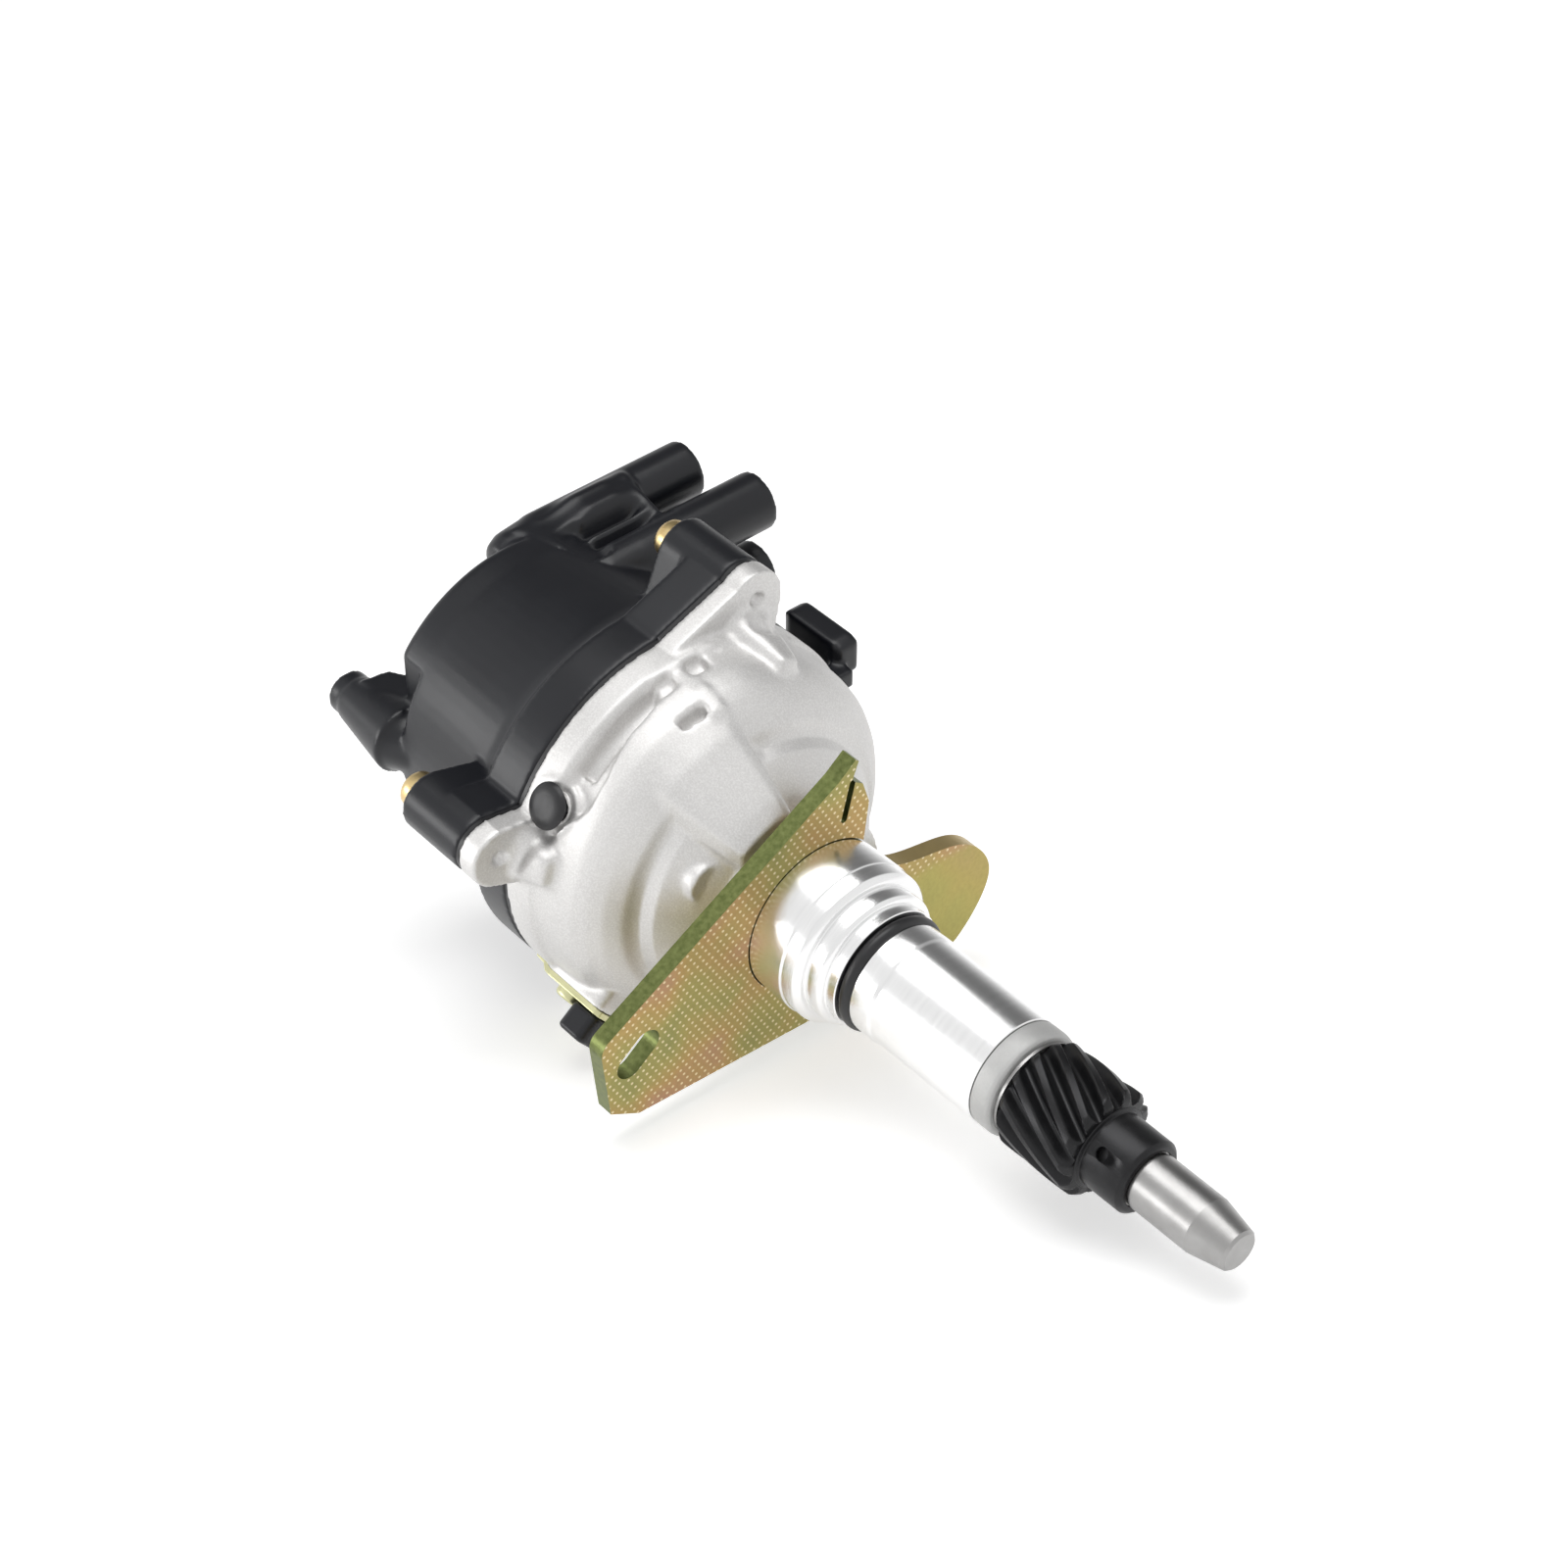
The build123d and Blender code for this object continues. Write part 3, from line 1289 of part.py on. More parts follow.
# Connector beside the cap, with a foot that passes through the bowl wall
with BuildPart() as connector:
    with BuildSketch(Plane.YZ.offset(-60.5)):
        with Locations((connector_y, connector_z)):
            RectangleRounded(connector_t, 21.0, 1.4)
    extrude(amount=16.3)
    with BuildSketch(Plane.YZ.offset(-60.5)):
        with Locations((connector_y, connector_z)):
            RectangleRounded(connector_t - 1.4, 19.6, 0.8)
    extrude(amount=10.0, mode=Mode.SUBTRACT)
    for blade in (-1, 0, 1):
        with BuildSketch(Plane.YZ.offset(-50.0)):
            with Locations((connector_y, connector_z + 6.0 * blade)):
                Rectangle(0.8, 3.0)
        extrude(amount=-5.6)
    with BuildSketch(Plane.YZ.offset(foot_x0)):
        with Locations((connector_y - connector_t / 2 - foot_len / 2 + 3.3, connector_z)):
            Rectangle(foot_len, foot_w)
    extrude(amount=foot_t)
connector.part.label = "connector"
export_step(connector.part, "parts/connector.step")
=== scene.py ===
# %% [markdown]
# # An ignition distributor, lying on its side
#
# The solid model comes in as a fixed frame: every CAD body keeps its place, and
# this lesson gives the bodies their finishes and replaces the few whose real
# surface is richer than their solid. Blender works in metres. Lengths that are
# written for this part are easier to read in millimetres, so they are turned
# into metres where a mesh is made. The shaft axis is X with the gear at its +
# end, the plug towers point along +Y and Z is up.

# %% Load the frame
import math

import bmesh
import bpy
import numpy as np
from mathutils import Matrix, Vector


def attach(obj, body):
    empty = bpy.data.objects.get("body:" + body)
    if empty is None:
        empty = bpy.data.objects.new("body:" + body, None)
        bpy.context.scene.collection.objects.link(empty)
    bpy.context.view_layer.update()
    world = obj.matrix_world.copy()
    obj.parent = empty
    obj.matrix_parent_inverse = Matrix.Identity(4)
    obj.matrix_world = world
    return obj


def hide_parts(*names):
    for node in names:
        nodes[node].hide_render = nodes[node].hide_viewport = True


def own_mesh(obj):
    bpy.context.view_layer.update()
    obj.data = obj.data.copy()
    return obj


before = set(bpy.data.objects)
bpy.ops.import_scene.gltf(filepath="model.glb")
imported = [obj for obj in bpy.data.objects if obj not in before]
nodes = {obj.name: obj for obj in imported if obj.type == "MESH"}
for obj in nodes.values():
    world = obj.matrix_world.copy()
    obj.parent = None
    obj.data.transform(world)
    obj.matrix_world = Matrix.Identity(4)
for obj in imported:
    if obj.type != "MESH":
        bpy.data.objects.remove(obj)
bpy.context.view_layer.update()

MM = 0.001

# %% [markdown]
# ## Camera
#
# A still-life camera looks down at the part from beyond its gear end. A short
# lens close by would swell the gear and shrink the cap. The lens is fairly long,
# so that the cap and the shaft tip keep their real proportions.

# %% Camera
scene = bpy.context.scene
lens_data = bpy.data.cameras.new("studio_camera")
lens_data.lens = 78.75
lens_data.sensor_width = 36.0
lens_data.clip_start = 0.01
camera = bpy.data.objects.new("studio_camera", lens_data)
camera.location = (0.3790, -0.3355, 0.4865)
camera.rotation_euler = tuple(math.radians(a) for a in (48.31, 0.0, 49.23))
scene.collection.objects.link(camera)
scene.camera = camera
scene.view_settings.view_transform = "Standard"
print("camera at", tuple(round(c, 4) for c in camera.location))

# %% [markdown]
# ## Writing finishes as arithmetic
#
# Every finish below is a small graph of shader nodes. Adding the nodes by hand
# hides the idea behind them, so one class wraps an output socket and lets
# Python's own operators add the Math or Vector Math node that does the sum. The
# reflected forms let a plain number stand first, as in 1 - mask.

# %% Sockets that do arithmetic
class Wire:
    """An output socket that can be added, subtracted and multiplied."""

    def __init__(self, graph, socket):
        self.graph = graph
        self.socket = socket

    def is_number(self):
        return self.socket.type == "VALUE"

    def reckon(self, operation, first, second):
        pair = (first, second)
        numbers = all(v.is_number() if isinstance(v, Wire) else isinstance(v, (int, float)) for v in pair)
        if not numbers:
            pair = [(v, v, v) if isinstance(v, (int, float)) else v for v in pair]
        kind = "Math" if numbers else "VectorMath"
        return self.graph.node(kind, {"operation": operation}, dict(enumerate(pair)))

    def __add__(self, other):
        return self.reckon("ADD", self, other)

    def __radd__(self, other):
        return self.reckon("ADD", other, self)

    def __sub__(self, other):
        return self.reckon("SUBTRACT", self, other)

    def __rsub__(self, other):
        return self.reckon("SUBTRACT", other, self)

    def __mul__(self, other):
        return self.reckon("MULTIPLY", self, other)

    def __rmul__(self, other):
        return self.reckon("MULTIPLY", other, self)

    def part(self, index):
        """X, Y or Z of a vector as a number."""
        return self.graph.node("SeparateXYZ", {}, {0: self}, out=index)


print("a wire works with", [name for name, made in vars(Wire).items() if callable(made)])

# %% [markdown]
# ## A graph, and a finish that is one
#
# Any other node comes from the one method `node`: its type, its settings, which
# are set first, and what goes into its sockets. The few nodes that come up again
# and again get a name of their own here. The studio air is a graph too, so the
# part that only a material needs is kept apart, in a second class.

# %% Graph
class Graph:
    """A node tree that nodes are added to."""

    def __init__(self, tree):
        self.tree = tree

    def feed(self, slot, value):
        if isinstance(value, Wire):
            self.tree.links.new(value.socket, slot)
        elif hasattr(slot.default_value, "__len__") and len(slot.default_value) == 4:
            slot.default_value = (*value[:3], 1.0)
        else:
            slot.default_value = value

    def node(self, kind, settings=None, sockets=None, out=0):
        made = self.tree.nodes.new("ShaderNode" + kind)
        for name, value in (settings or {}).items():
            if name == "stops":
                ramp = made.color_ramp
                while len(ramp.elements) < len(value):
                    ramp.elements.new(0.5)
                for element, (at, shade) in zip(ramp.elements, value):
                    element.position = at
                    element.color = (*shade, 1.0)
            else:
                setattr(made, name, value)
        for name, value in (sockets or {}).items():
            self.feed(made.inputs[name], value)
        return Wire(self, made.outputs[out])

    def ramp(self, value, low, high):
        """0 at low, 1 at high, smooth between."""
        return self.node(
            "MapRange",
            {"interpolation_type": "SMOOTHSTEP"},
            {"Value": value, "From Min": low, "From Max": high},
        )

    def mix(self, mask, first, second):
        """A colour that goes from first to second as mask goes from 0 to 1."""
        return self.node("Mix", {"data_type": "RGBA"}, {0: mask, 6: first, 7: second}, out=2)

    def blend(self, mask, first, second):
        """A number that goes from first to second as mask goes from 0 to 1."""
        return self.node("Mix", {}, {0: mask, 2: first, 3: second})

    def ray(self, kind):
        """1 where the ray that looks is of this kind, as in Is Camera Ray."""
        return self.node("LightPath", out=kind)


print("graph of", len([name for name in vars(Graph) if not name.startswith("_")]), "methods")

# %% Finish
class Finish(Graph):
    """A material, its Principled shader and the nodes that drive it."""

    def __init__(self, name, **plain):
        self.material = bpy.data.materials.new(name)
        self.material.use_nodes = True
        super().__init__(self.material.node_tree)
        self.shader = next(n for n in self.tree.nodes if n.type == "BSDF_PRINCIPLED")
        for socket, value in plain.items():
            self.shader.inputs[socket.replace("_", " ")].default_value = value
        self.place = self.node("TexCoord", out="Object")

    def noise(self, per_metre, detail, at=None, rough=0.5):
        sockets = {"Vector": at or self.place, "Scale": per_metre, "Detail": detail, "Roughness": rough}
        return self.node("TexNoise", {}, sockets)

    def along_shaft(self):
        return self.place.part(0)

    def round_shaft(self):
        """Angle round the shaft axis, in radians."""
        return self.node("Math", {"operation": "ARCTAN2"}, {0: self.place.part(2), 1: self.place.part(1)})

    def rings(self, per_metre, twist, detail, rough=0.5):
        """Noise drawn out round the shaft axis, as a cutting tool leaves it."""
        stretched = self.node(
            "CombineXYZ", {}, {0: self.along_shaft() * per_metre, 1: self.round_shaft() * twist, 2: 0.0}
        )
        return self.noise(1.0, detail, stretched, rough)

    def set(self, **driven):
        for socket, value in driven.items():
            self.feed(self.shader.inputs[socket.replace("_", " ")], value)

    def relief(self, height, depth, strength):
        """Bump from a height of 0 to 1 that stands for depth metres."""
        self.set(Normal=self.node("Bump", {}, {"Height": height, "Distance": depth, "Strength": strength}))


print("finish adds", len([name for name in vars(Finish) if not name.startswith("_")]), "methods")

# %% [markdown]
# ## Who wears what
#
# Each finish is written once as a function, and a decorator keeps its material
# under its own name and under the names of the CAD nodes that wear it. A plain
# dictionary would do as well, but this way the list of nodes stands right above
# the finish. Those with an empty list are for pieces made further down.

# %% Wardrobe
finishes = {}


def finish_for(*names):
    """Keeps a finish under the names of the CAD nodes that wear it."""

    def keep(make):
        made = make()
        for name in (*names, make.__name__):
            finishes[name] = made.material
        print("finish", make.__name__, "of", len(made.tree.nodes), "nodes, on", len(names), "CAD nodes")
        return made

    return keep


print("wardrobe open,", len(finishes), "finishes yet")

# %% [markdown]
# ## Cast and turned aluminium
#
# The bowl is a gravity casting, blasted with fine beads: bright, grainy and soft
# in its reflections. A plain grey metal would look like foil, so clouds of noise
# in three sizes move its colour, its roughness and its height. Its neck and
# barrel are turned from the same casting and carry fine rings round the axis.
# The rings end before the last few millimetres, which are matt.

# %% Cast aluminium
@finish_for("housing")
def cast_aluminium():
    f = Finish("cast_aluminium", Metallic=0.85, Specular_IOR_Level=0.5)
    grain = f.noise(2600, 3.0)
    cloud = f.noise(55, 3.0)
    patch = f.noise(190, 2.0)
    shade = f.mix(cloud, (0.56, 0.55, 0.54), (0.74, 0.73, 0.72))
    shade = f.mix(f.ramp(grain, 0.35, 0.75) * 0.35, shade, (0.95, 0.95, 0.94))
    f.set(Base_Color=shade, Roughness=0.40 + cloud * 0.16 + grain * 0.10)
    f.relief(grain * 0.6 + patch * 0.4, 0.00012, 0.5)
    return f


# %% Turned aluminium
@finish_for()
def turned_aluminium():
    f = Finish("turned_aluminium", Metallic=1.0)
    fine = f.rings(9000.0, 0.8, 4.0, 0.7)
    wide = f.rings(900.0, 0.5, 2.0)
    f.set(
        Base_Color=f.mix(wide, (0.80, 0.80, 0.80), (0.93, 0.93, 0.93)),
        Roughness=0.12 + fine * 0.18,
    )
    f.relief(fine * 0.7 + wide * 0.3, 0.00004, 0.5)
    return f


# %% Matt aluminium, where the turning stops
@finish_for()
def matt_aluminium():
    f = Finish("matt_aluminium", Metallic=0.7)
    grain = f.noise(2400, 3.0)
    f.set(
        Base_Color=f.mix(f.noise(260, 3.0), (0.46, 0.46, 0.455), (0.58, 0.58, 0.57)),
        Roughness=0.52 + grain * 0.2,
    )
    f.relief(grain, 0.00008, 0.5)
    return f


# %% [markdown]
# ## Steel
#
# The shaft is ground, so it has rings as the barrel does, over a darker metal
# with faint stains. The gear and its hub are blackened in an oxide bath, which
# leaves steel that is nearly black and still takes a sharp light on its teeth.

# %% Ground steel
@finish_for(
    "drive_shaft", "thrust_washer", "cam_sleeve", "sleeve_screw", "weight_a", "weight_b", "reluctor",
    "pole_piece", "pickup_screws", "module_screws", "coil_screws", "contact_rivets", "gear_pin",
)
def ground_steel():
    f = Finish("ground_steel", Metallic=1.0)
    grinding = f.rings(7000.0, 1.5, 4.0, 0.7)
    stain = f.noise(240, 3.0)
    f.set(
        Base_Color=f.mix(stain, (0.30, 0.295, 0.29), (0.42, 0.415, 0.41)),
        Roughness=0.22 + grinding * 0.22,
    )
    f.relief(grinding, 0.00003, 0.6)
    return f


# %% Black oxide
@finish_for("drive_gear")
def black_oxide():
    f = Finish("black_oxide", Metallic=0.55)
    haze = f.noise(420, 3.0)
    f.set(
        Base_Color=f.mix(haze, (0.010, 0.010, 0.011), (0.026, 0.026, 0.028)),
        Roughness=0.24 + haze * 0.2,
    )
    f.relief(f.noise(3000, 2.0), 0.00004, 0.4)
    return f


# %% [markdown]
# ## Small plated parts and brass
#
# Three metals differ only in their two tints, the size of the clouds between
# them and a little roughness, so one function makes them all. The zinc on the
# screws is passivated to gold and that on the bracket to a pale yellow green,
# and the terminals and bushes are bare brass and bronze.

# %% Tinted metals
def tinted_metal(name, darker, lighter, clouds, smoothest, drift, grain, depth):
    """A metal whose colour and roughness drift together, in so many clouds per metre."""
    f = Finish(name, Metallic=1.0)
    cloud = f.noise(clouds, 3.0)
    f.set(Base_Color=f.mix(cloud, darker, lighter), Roughness=smoothest + cloud * drift)
    f.relief(f.noise(grain, 2.0), depth, 0.4)
    return f


@finish_for("cap_screws")
def gold_zinc():
    return tinted_metal(
        "gold_zinc", darker=(0.62, 0.42, 0.17), lighter=(0.86, 0.70, 0.38),
        clouds=600, smoothest=0.2, drift=0.2, grain=2500, depth=0.00004,
    )


@finish_for("lead_bracket", "bracket_screw", "pickup_plate", "governor_plate", "weight_clips",
            "advance_spring_a", "advance_spring_b", "brush_spring")
def yellow_zinc():
    return tinted_metal(
        "yellow_zinc", darker=(0.50, 0.50, 0.26), lighter=(0.80, 0.78, 0.50),
        clouds=160, smoothest=0.24, drift=0.16, grain=1800, depth=0.00005,
    )


@finish_for("cap_terminal_a", "cap_terminal_b", "cap_terminal_c", "cap_terminal_d", "coil_terminal",
            "rotor_contact", "bush_upper", "bush_lower")
def brass():
    return tinted_metal(
        "brass", darker=(0.62, 0.45, 0.20), lighter=(0.80, 0.62, 0.32),
        clouds=300, smoothest=0.22, drift=0.2, grain=2200, depth=0.00004,
    )


# %% [markdown]
# ## The mounting plate
#
# The plate is pressed from steel with a fine dotted tread and plated with yellow
# chromate, which drifts from olive through gold to rose in patches a few
# centimetres wide. Dots as mesh would be many small bumps less than a tenth of a
# millimetre high, so two crossed sine waves mark them instead. The sheared edge
# is a darker green, and one lobe of the plate has no dots. Beyond 18 mm along Y
# the edge is painted lighter, a painted highlight along it.

# %% Yellow chromate with its dots
@finish_for("mounting_plate")
def yellow_chromate():
    f = Finish("yellow_chromate", Metallic=0.9)
    dot_pitch, dot_turn = 0.00172, math.radians(29.0)
    across, up = math.cos(dot_turn), math.sin(dot_turn)
    y, z = f.place.part(1), f.place.part(2)
    waves = [
        f.node("Math", {"operation": "SINE"}, {0: way * (math.pi / dot_pitch)})
        for way in (y * across + z * up, z * across - y * up)
    ]
    lobe = f.ramp(y, 0.012, 0.016) * f.ramp(z, -0.004, -0.008)
    dots = f.ramp(waves[0] * waves[0] * waves[1] * waves[1], 0.55, 0.85) * (1.0 - lobe)
    toward_x = f.node("NewGeometry", out="Normal").part(0)
    face = f.ramp(f.node("Math", {"operation": "ABSOLUTE"}, {0: toward_x}), 0.6, 0.9)
    fine = f.noise(900, 3.0)
    hue = f.node(
        "ValToRGB",
        {"stops": [
            (0.24, (0.24, 0.27, 0.09)), (0.40, (0.40, 0.34, 0.11)), (0.52, (0.50, 0.32, 0.12)),
            (0.64, (0.50, 0.27, 0.17)), (0.80, (0.28, 0.30, 0.10)),
        ]},
        {"Fac": f.noise(42, 2.0)},
    )
    hue = f.mix(lobe * 0.7, hue, (0.46, 0.40, 0.11))
    hue = f.mix(fine * 0.35, hue, (0.20, 0.19, 0.07))
    hue = f.mix(dots * face * 0.8, hue, (0.85, 0.74, 0.48))
    edge_with_highlight = f.mix(fine, (0.05, 0.07, 0.015), (0.24, 0.27, 0.10))
    # Beyond 18 mm along Y the edge turns light: a painted highlight, not a colour of the edge.
    edge_with_highlight = f.mix(f.ramp(y, 0.018, 0.024), edge_with_highlight, (0.52, 0.40, 0.18))
    f.set(Base_Color=f.mix(face, edge_with_highlight, hue), Roughness=0.30 + fine * 0.18)
    f.relief(dots * face * 0.6 + fine * 0.4, 0.00010, 0.6)
    return f


# %% [markdown]
# ## Plastics and rubber
#
# The cap is a glass-filled moulding: black, with a satin skin that spreads the
# softbox into broad greyish lights. A black of zero would lose its form, so even
# the darkest tint here is a little above it. Rubber is lighter and blooms in
# patches. The rotor and the coils are brown resin, with flecks of filler.

# %% Cap moulding
@finish_for("distributor_cap", "connector", "lead_clip", "dust_shield")
def black_moulding():
    f = Finish("black_moulding", IOR=1.45)
    cloud = f.noise(70, 3.0)
    grain = f.noise(3200, 2.0)
    f.set(
        Base_Color=f.mix(cloud, (0.0045, 0.005, 0.0075), (0.009, 0.010, 0.014)),
        Roughness=0.27 + cloud * 0.08 + grain * 0.05,
    )
    f.relief(grain, 0.00003, 0.5)
    return f


# %% Rubber
@finish_for("o_ring", "cap_gasket", "vent_plug", "oil_seal")
def black_rubber():
    f = Finish("black_rubber", IOR=1.5)
    bloom = f.noise(400, 3.0)
    f.set(
        Base_Color=f.mix(bloom, (0.006, 0.006, 0.007), (0.016, 0.016, 0.018)),
        Roughness=0.30 + bloom * 0.2,
    )
    f.relief(f.noise(2600, 2.0), 0.00004, 0.4)
    return f


# %% Resin
@finish_for("rotor", "pickup_coil", "ignition_module", "carbon_brush")
def filled_resin():
    f = Finish("filled_resin")
    fleck = f.noise(1200, 3.0)
    f.set(
        Base_Color=f.mix(fleck, (0.05, 0.03, 0.025), (0.10, 0.06, 0.05)),
        Roughness=0.45 + fleck * 0.2,
    )
    f.relief(fleck, 0.00005, 0.4)
    return f


# %% [markdown]
# ## Dressing the frame
#
# Now every CAD body takes the finish that is kept under its name. A body without
# one stops the script here, so none can stay grey unnoticed.

# %% Dress the CAD nodes
for name, node in nodes.items():
    node.data.materials.clear()
    node.data.materials.append(finishes[name])
print("dressed", len(nodes), "nodes")

# %% [markdown]
# ## Tools for new pieces
#
# A new piece needs four things: an object in the scene, a finish, a body to ride
# on, and a mesh. Some meshes are written point by point. Others start as closed
# bodies that overlap, which a voxel remesh then makes into one skin. A boolean
# union would keep the edges where the bodies cross, and a casting has none.

# %% Pieces and meshes
def add_piece(name, mesh, finish, body="housing"):
    """Puts a mesh in the scene as a piece that rides on a body."""
    piece = bpy.data.objects.new(name, mesh)
    scene.collection.objects.link(piece)
    mesh.materials.clear()
    mesh.materials.append(finishes[finish])
    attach(piece, body)
    return piece


def smooth_shaded(mesh, crease):
    """Shades a mesh smooth, with edges over crease degrees kept sharp."""
    mesh.polygons.foreach_set("use_smooth", [True] * len(mesh.polygons))
    mesh.set_sharp_from_angle(angle=math.radians(crease))
    return mesh


def mesh_from(name, points, faces, crease=30.0):
    """A smooth mesh from points in millimetres."""
    mesh = bpy.data.meshes.new(name)
    mesh.from_pydata([tuple(c * MM for c in p) for p in points], [], faces)
    mesh.validate()
    return smooth_shaded(mesh, crease)


def relaxed(name, mesh, voxel, rounds):
    """The mesh rebuilt as one skin of voxels, with its corners melted."""
    work = bpy.data.objects.new(name + "_work", mesh)
    scene.collection.objects.link(work)
    remesh = work.modifiers.new("skin", "REMESH")
    remesh.mode = "VOXEL"
    remesh.voxel_size = voxel
    melt = work.modifiers.new("melt", "SMOOTH")
    melt.factor = 0.5
    melt.iterations = rounds
    skin = bpy.data.meshes.new_from_object(work.evaluated_get(bpy.context.evaluated_depsgraph_get()))
    skin.name = name
    skin.polygons.foreach_set("use_smooth", [True] * len(skin.polygons))
    bpy.data.objects.remove(work)
    return skin


print("tools for", len(finishes), "finish names")

# %% [markdown]
# ## Lofts
#
# A loft draws a closed body through rows of points, one row after another. It
# makes a boss, a plug, a slope or a bent strip from a short table of numbers,
# and being closed it can join a remesh.

# %% Lofts and circles
def polar(radius, degrees):
    """Y and Z at a radius from the shaft axis, at an angle counted from +Y."""
    return radius * math.cos(math.radians(degrees)), radius * math.sin(math.radians(degrees))


def add_loft(store, rows):
    """Adds a closed body, drawn through rows of points in millimetres, to a bmesh."""
    made = [[store.verts.new([c * MM for c in point]) for point in row] for row in rows]
    fresh = [store.faces.new(made[0][::-1]), store.faces.new(made[-1])]
    for one, two in zip(made, made[1:]):
        for k in range(len(one)):
            fresh.append(store.faces.new((one[k - 1], one[k], two[k], two[k - 1])))
    bmesh.ops.recalc_face_normals(store, faces=fresh)


def ring_at(middle, size, axis, sides=40):
    """A circle of points round a middle, square to the X or Y axis."""
    x, y, z = middle
    around = [polar(size, 360.0 * k / sides) for k in range(sides)]
    if axis == "X":
        return [(x, y + a, z + b) for a, b in around]
    return [(x + a, y, z + b) for a, b in around]


def loft_mesh(name, *bodies):
    """A mesh of one or more lofted bodies."""
    store = bmesh.new()
    for rows in bodies:
        add_loft(store, rows)
    mesh = bpy.data.meshes.new(name)
    store.to_mesh(mesh)
    store.free()
    return mesh


print("a ring has", len(ring_at((0, 0, 0), 1.0, "X")), "points")

# %% [markdown]
# ## Pressing shapes into a skin
#
# A skin of small voxels behaves like clay. Its points are read into arrays and
# moved by a soft step: none at the edge of an outline, all a little way inside
# it. That is how channels, crescents and grooves come into a skin without a
# single cut.

# %% Reading, moving and smoothing points
def soft_step(value, low, high):
    share = np.clip((value - low) / (high - low), 0.0, 1.0)
    return share * share * (3.0 - 2.0 * share)


def depth_inside(u, v, outline):
    """Distance in from the edge of a closed outline, negative outside it."""
    corners = np.array(outline, float)
    inside = np.zeros(u.shape, bool)
    nearest = np.full(u.shape, 1e9)
    for (u0, v0), (u1, v1) in zip(corners, np.roll(corners, -1, 0)):
        crosses = ((v0 > v) != (v1 > v)) & (u < (u1 - u0) * (v - v0) / (v1 - v0 + 1e-12) + u0)
        inside ^= crosses
        run = max((u1 - u0) ** 2 + (v1 - v0) ** 2, 1e-12)
        share = np.clip(((u - u0) * (u1 - u0) + (v - v0) * (v1 - v0)) / run, 0.0, 1.0)
        nearest = np.minimum(nearest, np.hypot(u - u0 - share * (u1 - u0), v - v0 - share * (v1 - v0)))
    return np.where(inside, nearest, -nearest)


def read_mesh(mesh):
    """Points in millimetres and normals of a mesh, as two arrays."""
    count = len(mesh.vertices)
    points, normals = np.empty(count * 3), np.empty(count * 3)
    mesh.vertices.foreach_get("co", points)
    mesh.vertices.foreach_get("normal", normals)
    return points.reshape(-1, 3) / MM, normals.reshape(-1, 3)


def write_mesh(mesh, points):
    mesh.vertices.foreach_set("co", (points * MM).ravel())
    mesh.update()


def settled(mesh, chosen, rounds):
    """Smooths the chosen points of a skin, and leaves the rest."""
    store = bmesh.new()
    store.from_mesh(mesh)
    store.verts.ensure_lookup_table()
    worked = [store.verts[k] for k in np.flatnonzero(chosen)]
    every_way = {"use_axis_x": True, "use_axis_y": True, "use_axis_z": True}
    for _ in range(rounds):
        bmesh.ops.smooth_vert(store, verts=worked, factor=0.5, **every_way)
    store.to_mesh(mesh)
    store.free()


print("half way up a soft step:", float(soft_step(np.array(0.5), 0.0, 1.0)))

# %% [markdown]
# ## The casting
#
# A casting has no sharp inner corners: the sand or the die leaves a fillet
# wherever two walls meet. Rounding every edge of a solid by hand takes long, so
# the bowl of the CAD solid is copied, a few cast details are joined to it, and
# the lot is rebuilt as one skin of small voxels and relaxed. The corners melt
# into fillets of about a millimetre, as they do in the mould. The neck is turned,
# so it is cut off here and made on the lathe below. The screw holes in the ears
# are blind, so each gets a plug on the side that faces the gear.

# %% Bowl, rim and ears
EARS, EAR_CIRCLE = (65.7, 163.0, 307.0), 50.0
EAR_PLUG_R, EAR_PLUG_X = 3.1, (-46.0, -42.55)
CUT_X = -3.9
bowl = nodes["housing"].data.copy()
cutter = bmesh.new()
cutter.from_mesh(bowl)
bmesh.ops.remove_doubles(cutter, verts=cutter.verts, dist=1e-6)
cut = bmesh.ops.bisect_plane(
    cutter, geom=list(cutter.verts) + list(cutter.edges) + list(cutter.faces), dist=1e-6,
    plane_co=(CUT_X * MM, 0, 0), plane_no=(1, 0, 0), clear_outer=True,
)
open_edges = [e for e in cut["geom_cut"] if isinstance(e, bmesh.types.BMEdge)]
bmesh.ops.holes_fill(cutter, edges=open_edges, sides=0)
for angle in EARS:
    add_loft(cutter, [ring_at((x, *polar(EAR_CIRCLE, angle)), EAR_PLUG_R, "X", 24) for x in EAR_PLUG_X])
print("bowl:", len(cutter.faces), "faces, cut off at", CUT_X)

# %% [markdown]
# ## Pocket and slope
#
# Beside the web the casting has a shallow pocket, and next to it the shoulder
# runs down to the nose in one smooth slope. Each is a profile of stations and
# radii, swept a few degrees round the axis. The slope drops away at both ends,
# so that it leaves a soft ridge and not a wall.

# %% Pocket floor and the slope beside it
pocket_floor = ((-30.5, 35.0), (-30.5, 37.9), (-26.6, 37.3), (-21.2, 34.3), (-21.2, 29.0))
pocket_angles = range(94, 110, 3)
slope = (
    (-27.0, 36.0), (-27.0, 40.2), (-21.5, 37.4), (-15.0, 32.6), (-9.0, 28.0), (-6.0, 25.0), (-6.0, 19.0),
    (-15.5, 28.2),
)
slope_drops = ((92, 1.5), (96, 0.2), (104, 0.0), (112, 0.0), (120, 0.0), (125, 0.3), (130, 3.0), (134, 6.5))
SLOPE_DROPS_FROM_X = -26.0
add_loft(cutter, [[(x, *polar(r, angle)) for x, r in pocket_floor] for angle in pocket_angles])
add_loft(cutter, [
    [(x, *polar(r - drop * (x > SLOPE_DROPS_FROM_X), angle)) for x, r in slope]
    for angle, drop in slope_drops
])
cutter.to_mesh(bowl)
cutter.free()
print("bowl with its details:", len(bowl.polygons), "faces")

